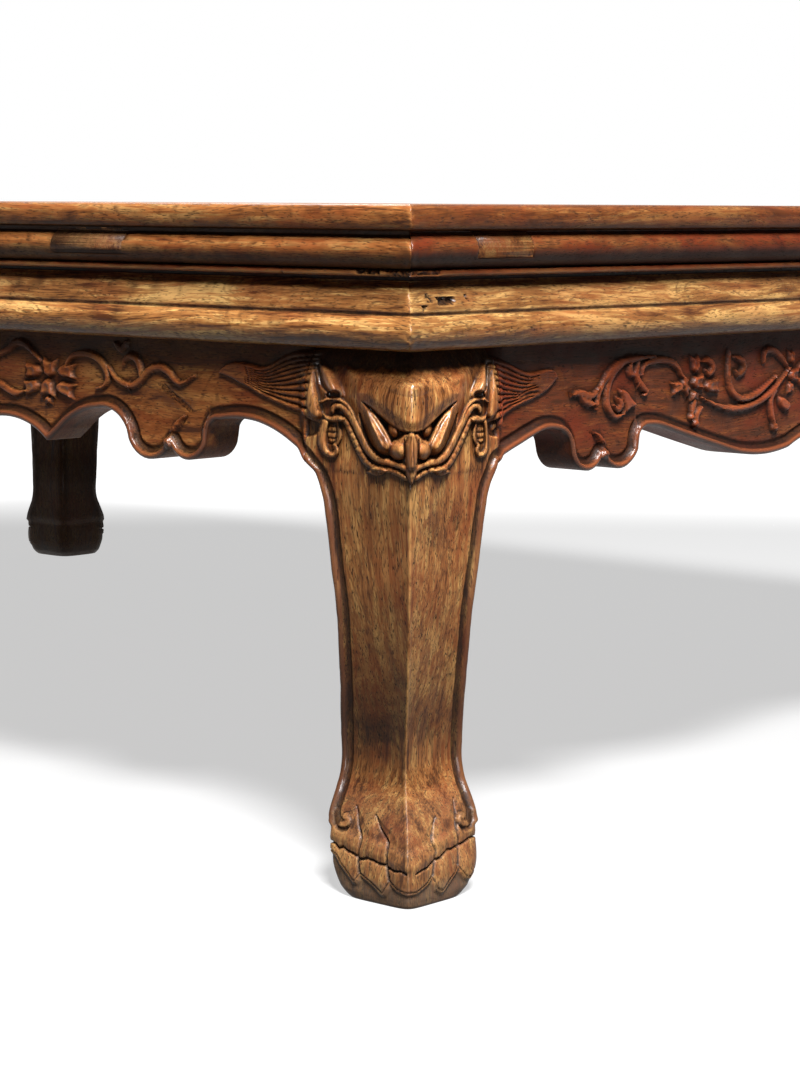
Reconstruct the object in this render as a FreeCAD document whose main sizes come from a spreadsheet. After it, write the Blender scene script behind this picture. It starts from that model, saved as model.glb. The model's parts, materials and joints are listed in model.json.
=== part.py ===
"""Low waisted hardwood table with cabriole legs, built joint by joint.

Frame: X runs along the table, Y across it, Z up, with the origin on the floor under the middle.
Every inset is measured inwards from the outer edge of the top frame.
"""

import FreeCAD, Part
import Sketcher
import os
import re

# Driving dimensions, in millimetres
SIZES = [
    ("table_length", 1040, "top frame, outer edge to outer edge along X"),
    ("table_depth", 740, "top frame, outer edge to outer edge along Y"),
    ("table_height", 300, "floor to the top face"),
    ("frame_thickness", 30, "height of the top frame's moulded edge"),
    ("frame_width", 95, "width of a top frame member"),
    ("frame_edge_depth", 9, "how far the top frame's edge moulding is cut in"),
    ("waist_height", 3.5, "visible height of the waist"),
    ("waist_inset", 14, "outer face of the waist"),
    ("waist_thickness", 12, "thickness of a waist strip"),
    ("waist_tongue_width", 6, "tongue on a waist strip"),
    ("waist_tongue_height", 3, "how far that tongue enters the frame"),
    ("belt_thickness", 27.5, "height of the moulded belt under the waist"),
    ("belt_inset", 1, "outermost line of the belt"),
    ("belt_width", 39, "width of a belt member"),
    ("belt_edge_depth", 12, "how far the belt's moulding is cut in"),
    ("apron_inset", 12, "front face of an apron"),
    ("apron_thickness", 20, "thickness of an apron"),
    ("apron_drop", 59, "top of an apron down to its lowest lobe"),
    ("leg_inset", 8.5, "outermost line of a leg"),
    ("leg_width", 59.5, "width of a leg's shoulder on each face"),
    ("leg_sweep", 18, "how far the ankle curves in behind the shoulder"),
    ("post_inset", 26, "outer faces of the post above the shoulder"),
    ("long_tenon_height", 20, "leg tenon in the long frame member"),
    ("short_tenon_height", 6, "leg tenon in the short frame member"),
    ("leg_tenon_length", 16, "leg tenon, along its frame member"),
    ("leg_tenon_thickness", 14, "leg tenon, across its frame member"),
    ("leg_tenon_inset", 4, "leg tenon, in from the post's outer face"),
    ("leg_tenon_stand", 24, "leg tenon, in from the post's other outer face"),
    ("hook_root", 6, "dovetail key on a leg, width at its root"),
    ("hook_tip", 10, "dovetail key on a leg, width at its tip"),
    ("hook_reach", 10, "how far the dovetail key enters the apron"),
    ("hook_top_gap", 4, "apron top down to the key's upper end"),
    ("hook_length", 36, "length of the dovetail key"),
    ("corner_tenon_start", 38, "frame corner tenon, in from the corner"),
    ("corner_tenon_width", 44, "frame corner tenon, across the member"),
    ("tenon_drop", 11.4, "top face down to the top of a through tenon"),
    ("corner_tenon_thickness", 11, "frame corner tenon, vertical"),
    ("panel_thickness", 11, "thickness of the floating panel"),
    ("panel_gap", 0.3, "seasonal gap round the floating panel"),
    ("tongue_top_drop", 4, "top face down to the panel tongue's groove"),
    ("tongue_groove_height", 4, "height of the panel groove"),
    ("tongue_groove_depth", 8, "depth of the panel groove"),
    ("tongue_reach", 7, "how far the panel's tongue enters the groove"),
    ("board_tongue_reach", 5, "tongue between the two panel boards"),
    ("brace_end_distance", 105, "inner edge of a short member to the middle of an outer brace"),
    ("brace_width", 54, "width of a brace"),
    ("brace_height", 17, "height of a brace under the panel"),
    ("brace_tenon_width", 48, "width of a brace's through tenon"),
    ("brace_tenon_thickness", 10, "height of a brace's through tenon"),
    ("brace_key_root", 34, "dovetail on a brace, width at the panel's underside"),
    ("brace_key_tip", 40, "dovetail on a brace, width at its top"),
    ("brace_key_height", 3, "dovetail on a brace, height"),
    ("pin_width", 14, "hanging pin, along the apron"),
    ("pin_thickness", 8, "hanging pin, across the apron"),
    ("pin_slot_depth", 5, "slot for the pin in the apron's back"),
    ("pin_length", 73, "hanging pin, full length"),
    ("pin_frame_depth", 8, "how far the pin enters the frame"),
    ("pin_end_distance", 320, "outer edge of the frame to a hanging pin on a long side"),
    ("joint_clearance", 0.1, "gap between a tenon and its mortise"),
    ("cut_overrun", 5, "how far a cut runs past the wood"),
]
SIZE_NAMES = {name for name, value, note in SIZES}

# Top frame's edge moulding: share of frame_edge_depth inwards, share of frame_thickness upwards
FRAME_EDGE_SHARES = [
    ("start", 0.24, 1.0),
    ("arc", 0.066, 0.95, 0.0, 0.88),
    ("line", 0.0, 0.84),
    ("arc", 0.028, 0.76, 0.11, 0.68),
    ("line", 0.40, 0.645),
    ("line", 0.38, 0.62),
    ("arc", 0.10, 0.395, 0.95, 0.12),
    ("line", 0.95, 0.10),
    ("line", 0.82, 0.09),
    ("arc", 0.68, 0.045, 0.82, 0.0),
]
# Belt's edge moulding: share of belt_edge_depth inwards, share of belt_thickness upwards
BELT_EDGE_SHARES = [
    ("start", 1.0, 1.0),
    ("arc", 0.52, 0.84, 0.30, 0.545),
    ("line", 0.20, 0.52),
    ("arc", 0.0, 0.25, 0.42, 0.025),
    ("line", 0.46, 0.0),
]
# Lower edge of the long apron: share of half its length from the leg, share of apron_drop downwards
LONG_EDGE_SHARES = [
    ("start", 0.0, 0.898),
    ("arc", 0.031, 0.695, 0.084, 0.571),
    ("arc", 0.111, 0.562, 0.137, 0.583),
    ("arc", 0.149, 0.635, 0.152, 0.745),
    ("arc", 0.175, 0.925, 0.199, 0.797),
    ("arc", 0.229, 0.939, 0.254, 0.780),
    ("arc", 0.263, 0.620, 0.286, 0.540),
    ("arc", 0.327, 0.573, 0.387, 0.839),
    ("arc", 0.531, 0.668, 0.704, 0.830),
    ("arc", 0.852, 0.644, 1.0, 0.890),
]
# Lower edge of the short apron: the same two shares
SHORT_EDGE_SHARES = [
    ("start", 0.0, 0.898),
    ("arc", 0.046, 0.729, 0.109, 0.644),
    ("arc", 0.139, 0.629, 0.166, 0.658),
    ("arc", 0.185, 0.710, 0.190, 0.822),
    ("arc", 0.226, 0.988, 0.263, 0.881),
    ("arc", 0.304, 1.0, 0.342, 0.881),
    ("arc", 0.348, 0.768, 0.372, 0.695),
    ("arc", 0.395, 0.680, 0.417, 0.700),
    ("arc", 0.530, 0.832, 0.646, 0.974),
    ("arc", 0.705, 1.0, 0.765, 0.990),
    ("arc", 0.860, 0.850, 1.0, 0.720),
]
# Outer face of a leg, top to floor: share of the leg's height, share of leg_sweep inwards
LEG_OUTER_SHARES = [
    (1.0, 0.31),
    (0.954, 0.10),
    (0.900, 0.03),
    (0.778, 0.0),
    (0.711, 0.08),
    (0.632, 0.19),
    (0.556, 0.31),
    (0.481, 0.47),
    (0.410, 0.64),
    (0.347, 0.81),
    (0.293, 0.94),
    (0.251, 1.0),
    (0.226, 0.97),
    (0.201, 0.83),
    (0.176, 0.61),
    (0.146, 0.39),
    (0.113, 0.21),
    (0.075, 0.08),
    (0.050, 0.06),
    (0.021, 0.22),
    (0.0, 0.53),
]
# Inner edge of a leg, floor to shoulder: share of the leg's height, share of leg_width inwards
LEG_INNER_SHARES = [
    (0.0, 0.647),
    (0.021, 0.714),
    (0.050, 0.760),
    (0.080, 0.782),
    (0.113, 0.812),
    (0.146, 0.895),
    (0.176, 0.943),
    (0.201, 0.956),
    (0.251, 0.942),
    (0.293, 0.922),
    (0.347, 0.893),
    (0.410, 0.866),
    (0.481, 0.849),
    (0.556, 0.832),
    (0.632, 0.832),
    (0.711, 0.863),
    (0.745, 0.908),
    (0.778, 1.0),
]
# Heights, outer and inner lines that several pieces share
FRAME_UNDERSIDE = "table_height - frame_thickness"
BELT_TOP = f"{FRAME_UNDERSIDE} - waist_height"
LEG_TOP = f"{BELT_TOP} - belt_thickness"
LEG_INNER = "leg_inset + leg_width"
THROUGH_TENON_TOP = "table_height - tenon_drop"
PANEL_UNDERSIDE = "table_height - panel_thickness"
PIN_OUTER = "apron_inset + apron_thickness - pin_slot_depth"
PIN_PLACE = "(table_length / 2 - pin_end_distance)"
BRACE_PLACE = "(table_length / 2 - frame_width - brace_end_distance)"
BRACE_PLACES = [f"-{BRACE_PLACE}", "0", BRACE_PLACE]

doc = FreeCAD.newDocument("WaistedTable")
sheet = doc.addObject("Spreadsheet::Sheet", "Sizes")


def fill_sheet():
    for row, (name, value, note) in enumerate(SIZES, 1):
        sheet.set(f"A{row}", name)
        sheet.set(f"B{row}", str(value))
        sheet.setAlias(f"B{row}", name)
        sheet.set(f"C{row}", note)
    doc.recompute()


def bound(text):
    """The text as an expression on the sheet's cells."""

    def cell(word):
        name = word.group()
        return f"Sizes.{name}" if name in SIZE_NAMES else name

    return re.sub(r"[a-z_]+", cell, text)


def value_of(text):
    return float(sheet.evalExpression(bound(text)))


def new_body(label):
    body = doc.addObject("PartDesign::Body", label)
    body.Label = label
    return body


def draw(body, name, role, path, height="0"):
    """A closed sketch on an origin plane, with every corner bound to the sheet.

    The path starts with ("start", x, y) and goes on with ("line", x, y) and with ("arc", x, y, x, y),
    which gives a point on the arc and then its end. The last corner is joined to the first by a line.
    """
    sketch = body.newObject("Sketcher::SketchObject", name)
    plane = next(o for o in body.Origin.OriginFeatures if o.Role == role)
    sketch.AttachmentSupport = [(plane, "")]
    sketch.MapMode = "FlatFace"
    if height != "0":
        sketch.setExpression("AttachmentOffset.Base.z", bound(height))
    add_loop(sketch, path)
    return sketch


def add_loop(sketch, path):
    corners = [(step[-2], step[-1]) for step in path]
    steps = path[1:] + [("line", *corners[0])]
    ends = []
    for index, step in enumerate(steps):
        here = point_at(*corners[index])
        there = point_at(step[-2], step[-1])
        if step[0] == "line":
            geometry = sketch.addGeometry(Part.LineSegment(here, there), False)
            ends.append((geometry, 1, 2))
        else:
            ends.append(add_arc(sketch, here, step, there))
    for index, (geometry, first, last) in enumerate(ends):
        following = ends[(index + 1) % len(ends)]
        sketch.addConstraint(Sketcher.Constraint("Coincident", geometry, last, following[0], following[1]))
        hold_point(sketch, geometry, first, *corners[index])


def point_at(x, y):
    return FreeCAD.Vector(value_of(x), value_of(y), 0)


def add_arc(sketch, here, step, there):
    """An arc through a bound point; gives its number and which of its ends comes first."""
    through = point_at(step[1], step[2])
    circle = Part.Circle(here, through, there)
    turn = (through - here).cross(there - through).z
    centre = circle.Center
    first, last = (here, there) if turn > 0 else (there, here)
    start = angle_of(first - centre)
    finish = angle_of(last - centre)
    round_part = Part.ArcOfCircle(
        Part.Circle(centre, FreeCAD.Vector(0, 0, 1), circle.Radius), start, finish
    )
    geometry = sketch.addGeometry(round_part, False)
    marker = sketch.addGeometry(Part.Point(through), True)
    hold_point(sketch, marker, 1, step[1], step[2])
    sketch.addConstraint(Sketcher.Constraint("PointOnObject", marker, 1, geometry))
    return (geometry, 1, 2) if turn > 0 else (geometry, 2, 1)


def angle_of(vector):
    flat = FreeCAD.Vector(vector.x, vector.y, 0)
    angle = flat.getAngle(FreeCAD.Vector(1, 0, 0))
    return angle if vector.y >= 0 else -angle


def hold_point(sketch, geometry, position, x, y):
    for kind, text in (("DistanceX", x), ("DistanceY", y)):
        number = sketch.addConstraint(Sketcher.Constraint(kind, geometry, position, value_of(text)))
        if text != "0":
            sketch.setExpression(f"Constraints[{number}]", bound(text))


def pad(body, sketch, length):
    feature = body.newObject("PartDesign::Pad", sketch.Name + "Pad")
    feature.Profile = sketch
    feature.SideType = "Symmetric"
    feature.setExpression("Length", bound(length))
    return feature


def pocket_through(body, sketch):
    feature = body.newObject("PartDesign::Pocket", sketch.Name + "Cut")
    feature.Profile = sketch
    feature.SideType = "Symmetric"
    feature.Type = "ThroughAll"
    return feature


def pocket_down(body, sketch, depth):
    feature = body.newObject("PartDesign::Pocket", sketch.Name + "Cut")
    feature.Profile = sketch
    feature.setExpression("Length", bound(depth))
    return feature


def block(body, name, adds, low, size):
    """A box that adds wood or cuts it away, by its lowest corner and its three sizes."""
    kind = "PartDesign::AdditiveBox" if adds else "PartDesign::SubtractiveBox"
    feature = body.newObject(kind, name)
    for prop, text in zip(("Length", "Width", "Height"), size):
        feature.setExpression(prop, bound(text))
    for axis, text in zip("xyz", low):
        feature.setExpression(f"Placement.Base.{axis}", bound(text))
    return feature


def moulded(shares, outer, depth, base, thickness, sign=""):
    """A moulding's path in sheet terms, with outer as the half size that insets are taken from."""
    path = []
    for step in shares:
        values = []
        for inwards, upwards in zip(step[1::2], step[2::2]):
            values.append(f"{sign}({outer} - {inwards} * {depth})")
            values.append(f"{base} + {upwards} * {thickness}")
        path.append((step[0], *values))
    return path


def turned(body, quarter_turns):
    body.Placement = FreeCAD.Placement(
        FreeCAD.Vector(0, 0, 0), FreeCAD.Rotation(FreeCAD.Vector(0, 0, 1), 90 * quarter_turns)
    )
    return body


def mitre_both_ends(body, half_along, half_across, plane_along, inner):
    """Cuts both ends at 45 degrees; inner is how far in from the outer edge the cut has to reach."""
    for end, sign in (("First", "-"), ("Second", "")):
        tip = f"{sign}({half_along} + cut_overrun)"
        root = f"{sign}({half_along} - {inner} - cut_overrun)"
        outside = f"-({half_across} + cut_overrun)"
        inside = f"-({half_across} - {inner} - cut_overrun)"
        corners = [(tip, outside), (tip, inside), (root, inside)]
        if plane_along == "y":
            corners = [(f"-({y})", x) for x, y in corners]
        path = [("start", *corners[0])] + [("line", *c) for c in corners[1:]]
        pocket_through(body, draw(body, f"Mitre{end}", "XY_Plane", path))


def trim_to_moulding(body, name, role, outer):
    """Shapes the ends of through tenons to the frame's edge moulding, on both sides."""
    for side, sign in (("Low", "-"), ("High", "")):
        path = moulded(
            FRAME_EDGE_SHARES, outer, "frame_edge_depth", f"({FRAME_UNDERSIDE})", "frame_thickness", sign
        )
        far = f"{sign}({outer} + cut_overrun)"
        path.append(("line", far, FRAME_UNDERSIDE))
        path.append(("line", far, "table_height"))
        pocket_through(body, draw(body, f"{name}{side}", role, path))


def frame_member_path(half_across, outward):
    """Cross-section of a top frame member: moulded edge, waist groove and panel groove."""
    path = moulded(
        FRAME_EDGE_SHARES,
        half_across,
        "frame_edge_depth",
        f"({FRAME_UNDERSIDE})",
        "frame_thickness",
        outward,
    )
    inner = f"{outward}({half_across} - frame_width)"
    groove_floor = f"{outward}({half_across} - frame_width + tongue_groove_depth)"
    groove_top = "table_height - tongue_top_drop"
    groove_bottom = f"{groove_top} - tongue_groove_height"
    waist_middle = "(waist_inset + waist_thickness / 2)"
    near = f"{outward}({half_across} - {waist_middle} + waist_tongue_width / 2 + joint_clearance)"
    far = f"{outward}({half_across} - {waist_middle} - waist_tongue_width / 2 - joint_clearance)"
    slot_top = f"{FRAME_UNDERSIDE} + waist_tongue_height + joint_clearance"
    for x, z in (
        (near, FRAME_UNDERSIDE),
        (near, slot_top),
        (far, slot_top),
        (far, FRAME_UNDERSIDE),
        (inner, FRAME_UNDERSIDE),
        (inner, groove_bottom),
        (groove_floor, groove_bottom),
        (groove_floor, groove_top),
        (inner, groove_top),
        (inner, "table_height"),
    ):
        path.append(("line", x, z))
    return path


def make_frame_long(label, quarter_turns):
    """Long top frame member with corner tenons, brace mortises, and mortises for leg tenons and pins."""
    body = new_body(label)
    half_x, half_y = "table_length / 2", "table_depth / 2"
    pad(body, draw(body, "Profile", "YZ_Plane", frame_member_path(half_y, "-")), "table_length")
    mitre_both_ends(body, half_x, half_y, "x", "frame_width")
    tenon_low = f"{THROUGH_TENON_TOP} - corner_tenon_thickness"
    for end, x in (("First", f"-{half_x}"), ("Second", f"{half_x} - frame_width")):
        block(
            body,
            f"CornerTenon{end}",
            True,
            (x, f"-{half_y} + corner_tenon_start", tenon_low),
            ("frame_width", "corner_tenon_width", "corner_tenon_thickness"),
        )
    trim_to_moulding(body, "TenonEnd", "XZ_Plane", half_x)
    for number, offset in enumerate(BRACE_PLACES, 1):
        block(
            body,
            f"BraceMortise{number}",
            False,
            (
                f"{offset} - brace_tenon_width / 2 - joint_clearance",
                f"-{half_y} - cut_overrun",
                f"{THROUGH_TENON_TOP} - brace_tenon_thickness - joint_clearance",
            ),
            (
                "brace_tenon_width + 2 * joint_clearance",
                "frame_width + 2 * cut_overrun",
                "brace_tenon_thickness + 2 * joint_clearance",
            ),
        )
    stand = "(post_inset + leg_tenon_stand)"
    for end, x in (
        ("First", f"-{half_x} + {stand} - joint_clearance"),
        ("Second", f"{half_x} - {stand} - leg_tenon_length - joint_clearance"),
    ):
        leg_mortise(
            body,
            f"LegMortise{end}",
            x,
            f"-{half_y} + post_inset + leg_tenon_inset - joint_clearance",
            ("leg_tenon_length", "leg_tenon_thickness", "long_tenon_height"),
        )
    for end, offset in (("First", f"-{PIN_PLACE}"), ("Second", PIN_PLACE)):
        pin_mortise(body, f"PinMortise{end}", offset, half_y, "frame")
    return turned(body, quarter_turns)


def make_frame_short(label, quarter_turns):
    """Short top frame member with through mortises for the corner tenons."""
    body = new_body(label)
    half_x, half_y = "table_length / 2", "table_depth / 2"
    pad(body, draw(body, "Profile", "XZ_Plane", frame_member_path(half_x, "")), "table_depth")
    mitre_both_ends(body, half_y, half_x, "y", "frame_width")
    mortise_low = f"{THROUGH_TENON_TOP} - corner_tenon_thickness - joint_clearance"
    for end, y in (
        ("First", f"-{half_y} + corner_tenon_start - joint_clearance"),
        ("Second", f"{half_y} - corner_tenon_start - corner_tenon_width - joint_clearance"),
    ):
        block(
            body,
            f"CornerMortise{end}",
            False,
            (f"{half_x} - frame_width - cut_overrun", y, mortise_low),
            (
                "frame_width + 2 * cut_overrun",
                "corner_tenon_width + 2 * joint_clearance",
                "corner_tenon_thickness + 2 * joint_clearance",
            ),
        )
    stand = "(post_inset + leg_tenon_stand)"
    for end, y in (
        ("First", f"-{half_y} + {stand} - joint_clearance"),
        ("Second", f"{half_y} - {stand} - leg_tenon_length - joint_clearance"),
    ):
        leg_mortise(
            body,
            f"LegMortise{end}",
            f"{half_x} - post_inset - leg_tenon_inset - leg_tenon_thickness - joint_clearance",
            y,
            ("leg_tenon_thickness", "leg_tenon_length", "short_tenon_height"),
        )
    pin_mortise_short(body, "PinMortise", half_x, "frame")
    return turned(body, quarter_turns)


def leg_mortise(body, name, x, y, tenon):
    block(
        body,
        name,
        False,
        (x, y, f"{FRAME_UNDERSIDE} - cut_overrun"),
        (
            f"{tenon[0]} + 2 * joint_clearance",
            f"{tenon[1]} + 2 * joint_clearance",
            f"{tenon[2]} + cut_overrun + joint_clearance",
        ),
    )


def pin_hole(where):
    """Foot and height of the hole for a hanging pin, in the frame or right through the belt."""
    if where == "frame":
        return f"{FRAME_UNDERSIDE} - cut_overrun", "pin_frame_depth + cut_overrun + joint_clearance"
    return f"{LEG_TOP} - cut_overrun", "belt_thickness + 2 * cut_overrun"


def pin_mortise(body, name, offset, half_y, where):
    foot, height = pin_hole(where)
    block(
        body,
        name,
        False,
        (f"{offset} - pin_width / 2 - joint_clearance", f"-{half_y} + {PIN_OUTER} - joint_clearance", foot),
        ("pin_width + 2 * joint_clearance", "pin_thickness + 2 * joint_clearance", height),
    )


def pin_mortise_short(body, name, half_x, where):
    foot, height = pin_hole(where)
    block(
        body,
        name,
        False,
        (
            f"{half_x} - ({PIN_OUTER}) - pin_thickness - joint_clearance",
            "-pin_width / 2 - joint_clearance",
            foot,
        ),
        ("pin_thickness + 2 * joint_clearance", "pin_width + 2 * joint_clearance", height),
    )


def make_board(label, front):
    """One of the two boards of the floating panel; the front one carries the joint's tongue."""
    body = new_body(label)
    half_x = "(table_length / 2 - frame_width)"
    half_y = "(table_depth / 2 - frame_width)"
    core_x, core_y = f"({half_x} - panel_gap)", f"({half_y} - panel_gap)"
    wide_x, wide_y = f"({half_x} + tongue_reach)", f"({half_y} + tongue_reach)"
    tongue_low = "table_height - tongue_top_drop - tongue_groove_height + joint_clearance"
    tongue_height = "tongue_groove_height - 2 * joint_clearance"
    block(
        body,
        "Core",
        True,
        (f"-{core_x}", f"-{core_y}" if front else "0", PANEL_UNDERSIDE),
        (f"2 * {core_x}", core_y, "panel_thickness"),
    )
    block(
        body,
        "Tongue",
        True,
        (f"-{wide_x}", f"-{wide_y}" if front else "0", tongue_low),
        (f"2 * {wide_x}", f"{wide_y} + board_tongue_reach" if front else wide_y, tongue_height),
    )
    if not front:
        block(
            body,
            "JointGroove",
            False,
            (
                f"-{wide_x} - cut_overrun",
                "-cut_overrun",
                "table_height - tongue_top_drop - tongue_groove_height",
            ),
            (
                f"2 * ({wide_x} + cut_overrun)",
                "board_tongue_reach + cut_overrun + joint_clearance",
                "tongue_groove_height",
            ),
        )
    for number, offset in enumerate(BRACE_PLACES, 1):
        path = [
            ("start", f"{offset} - brace_key_root / 2 - joint_clearance", PANEL_UNDERSIDE),
            ("line", f"{offset} + brace_key_root / 2 + joint_clearance", PANEL_UNDERSIDE),
            (
                "line",
                f"{offset} + brace_key_tip / 2 + joint_clearance",
                f"{PANEL_UNDERSIDE} + brace_key_height + joint_clearance",
            ),
            (
                "line",
                f"{offset} - brace_key_tip / 2 - joint_clearance",
                f"{PANEL_UNDERSIDE} + brace_key_height + joint_clearance",
            ),
        ]
        pocket_through(body, draw(body, f"BraceSlot{number}", "XZ_Plane", path))
    return body


def make_brace(label, offset):
    """Transverse brace, dovetailed into the panel and tenoned right through the long members."""
    body = new_body(label)
    low = f"{PANEL_UNDERSIDE} - brace_height"
    key_top = f"{PANEL_UNDERSIDE} + brace_key_height"
    path = [
        ("start", f"{offset} - brace_width / 2", low),
        ("line", f"{offset} + brace_width / 2", low),
        ("line", f"{offset} + brace_width / 2", PANEL_UNDERSIDE),
        ("line", f"{offset} + brace_key_root / 2", PANEL_UNDERSIDE),
        ("line", f"{offset} + brace_key_tip / 2", key_top),
        ("line", f"{offset} - brace_key_tip / 2", key_top),
        ("line", f"{offset} - brace_key_root / 2", PANEL_UNDERSIDE),
        ("line", f"{offset} - brace_width / 2", PANEL_UNDERSIDE),
    ]
    pad(body, draw(body, "Profile", "XZ_Plane", path), "table_depth - 2 * frame_width")
    block(
        body,
        "Tenons",
        True,
        (
            f"{offset} - brace_tenon_width / 2",
            "-table_depth / 2",
            f"{THROUGH_TENON_TOP} - brace_tenon_thickness",
        ),
        ("brace_tenon_width", "table_depth", "brace_tenon_thickness"),
    )
    trim_to_moulding(body, "TenonEnd", "YZ_Plane", "table_depth / 2")
    return body


def waist_path(half_across, outward):
    outer = f"{outward}({half_across} - waist_inset)"
    inner = f"{outward}({half_across} - waist_inset - waist_thickness)"
    middle = f"{half_across} - waist_inset - waist_thickness / 2"
    tongue_outer = f"{outward}({middle} + waist_tongue_width / 2)"
    tongue_inner = f"{outward}({middle} - waist_tongue_width / 2)"
    tongue_top = f"{FRAME_UNDERSIDE} + waist_tongue_height"
    return [
        ("start", outer, BELT_TOP),
        ("line", inner, BELT_TOP),
        ("line", inner, FRAME_UNDERSIDE),
        ("line", tongue_inner, FRAME_UNDERSIDE),
        ("line", tongue_inner, tongue_top),
        ("line", tongue_outer, tongue_top),
        ("line", tongue_outer, FRAME_UNDERSIDE),
        ("line", outer, FRAME_UNDERSIDE),
    ]


def make_waist(label, along, quarter_turns):
    """Waist strip between the frame and the belt, mitred at the corners, with a tongue on top."""
    body = new_body(label)
    half_x, half_y = "table_length / 2", "table_depth / 2"
    if along == "x":
        pad(body, draw(body, "Profile", "YZ_Plane", waist_path(half_y, "-")), "table_length")
        mitre_both_ends(body, half_x, half_y, "x", "frame_width")
    else:
        pad(body, draw(body, "Profile", "XZ_Plane", waist_path(half_x, "")), "table_depth")
        mitre_both_ends(body, half_y, half_x, "y", "frame_width")
    return turned(body, quarter_turns)


def belt_path(half_across, outward):
    half = f"{half_across} - belt_inset"
    path = moulded(BELT_EDGE_SHARES, half, "belt_edge_depth", f"({LEG_TOP})", "belt_thickness", outward)
    inner = f"{outward}({half_across} - belt_inset - belt_width)"
    return path + [("line", inner, LEG_TOP), ("line", inner, BELT_TOP)]


def make_belt(label, along, quarter_turns):
    """Moulded belt member, mitred at the corners and notched round the leg posts."""
    body = new_body(label)
    half_x, half_y = "table_length / 2", "table_depth / 2"
    notch_size = f"{LEG_INNER} - post_inset + joint_clearance"
    notch_low = f"{LEG_TOP} - cut_overrun"
    notch_height = "belt_thickness + 2 * cut_overrun"
    if along == "x":
        pad(body, draw(body, "Profile", "YZ_Plane", belt_path(half_y, "-")), "table_length")
        mitre_both_ends(body, half_x, half_y, "x", "frame_width")
        for end, x in (
            ("First", f"-{half_x} + post_inset"),
            ("Second", f"{half_x} - ({LEG_INNER}) - joint_clearance"),
        ):
            block(
                body,
                f"PostNotch{end}",
                False,
                (x, f"-{half_y} + post_inset", notch_low),
                (notch_size, notch_size, notch_height),
            )
        for end, offset in (("First", f"-{PIN_PLACE}"), ("Second", PIN_PLACE)):
            pin_mortise(body, f"PinHole{end}", offset, half_y, "belt")
    else:
        pad(body, draw(body, "Profile", "XZ_Plane", belt_path(half_x, "")), "table_depth")
        mitre_both_ends(body, half_y, half_x, "y", "frame_width")
        for end, y in (
            ("First", f"-{half_y} + post_inset"),
            ("Second", f"{half_y} - ({LEG_INNER}) - joint_clearance"),
        ):
            block(
                body,
                f"PostNotch{end}",
                False,
                (f"{half_x} - ({LEG_INNER}) - joint_clearance", y, notch_low),
                (notch_size, notch_size, notch_height),
            )
        pin_mortise_short(body, "PinHole", half_x, "belt")
    return turned(body, quarter_turns)


def apron_path(shares, half_span):
    """Front outline of an apron: cusped lower edge, mirrored about the middle, and a straight top."""

    def place(sign, along, down):
        return f"{sign}({half_span} * {round(1 - along, 4)})", f"{LEG_TOP} - {down} * apron_drop"

    path = [("start", *place("-", *shares[0][1:]))]
    for step in shares[1:]:
        path.append(("arc", *place("-", *step[1:3]), *place("-", *step[3:5])))
    for index in range(len(shares) - 1, 0, -1):
        step, before = shares[index], shares[index - 1]
        path.append(("arc", *place("", *step[1:3]), *place("", *before[-2:])))
    path.append(("line", f"{half_span}", LEG_TOP))
    path.append(("line", f"-{half_span}", LEG_TOP))
    return path


def make_apron(label, along, quarter_turns):
    """Apron with a cusped edge, dovetail sockets at both ends, and pin slots in its back."""
    body = new_body(label)
    outward = "table_depth / 2" if along == "x" else "table_length / 2"
    length = "table_length / 2" if along == "x" else "table_depth / 2"
    shares = LONG_EDGE_SHARES if along == "x" else SHORT_EDGE_SHARES
    half_span = f"({length} - ({LEG_INNER}))"
    sketch = draw(body, "Outline", "XZ_Plane", apron_path(shares, half_span))
    front = f"{outward} - apron_inset"
    sketch.setExpression(
        "AttachmentOffset.Base.z", bound(f"{front} - apron_thickness / 2")
    )
    pad(body, sketch, "apron_thickness")
    hook_middle = f"{front} - apron_thickness / 2"
    socket_top = f"{LEG_TOP} - hook_top_gap + joint_clearance"
    for end, sign in (("First", "-"), ("Second", "")):
        mouth = f"{sign}({half_span} + cut_overrun)"
        edge = f"{sign}{half_span}"
        floor = f"{sign}({half_span} - hook_reach - joint_clearance)"
        path = [
            ("start", mouth, f"-({hook_middle} - hook_root / 2 - joint_clearance)"),
            ("line", edge, f"-({hook_middle} - hook_root / 2 - joint_clearance)"),
            ("line", floor, f"-({hook_middle} - hook_tip / 2 - joint_clearance)"),
            ("line", floor, f"-({hook_middle} + hook_tip / 2 + joint_clearance)"),
            ("line", edge, f"-({hook_middle} + hook_root / 2 + joint_clearance)"),
            ("line", mouth, f"-({hook_middle} + hook_root / 2 + joint_clearance)"),
        ]
        socket = draw(body, f"Socket{end}", "XY_Plane", path, socket_top)
        pocket_down(body, socket, "apron_drop + cut_overrun")
    places = [f"-{PIN_PLACE}", PIN_PLACE] if along == "x" else ["0"]
    for number, offset in enumerate(places, 1):
        block(
            body,
            f"PinSlot{number}",
            False,
            (
                f"{offset} - pin_width / 2 - joint_clearance",
                f"-({outward}) + {PIN_OUTER}",
                f"{FRAME_UNDERSIDE} + pin_frame_depth - pin_length - joint_clearance",
            ),
            (
                "pin_width + 2 * joint_clearance",
                "pin_slot_depth + cut_overrun",
                "pin_length + cut_overrun",
            ),
        )
    return turned(body, quarter_turns)


def make_pin(label, along, offset, quarter_turns):
    """Hanging pin that ties an apron and the belt up to the frame."""
    body = new_body(label)
    outward = "table_depth / 2" if along == "x" else "table_length / 2"
    block(
        body,
        "Pin",
        True,
        (
            f"{offset} - pin_width / 2",
            f"-{outward} + {PIN_OUTER}",
            f"{FRAME_UNDERSIDE} + pin_frame_depth - pin_length",
        ),
        ("pin_width", "pin_thickness", "pin_length"),
    )
    return turned(body, quarter_turns)


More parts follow.
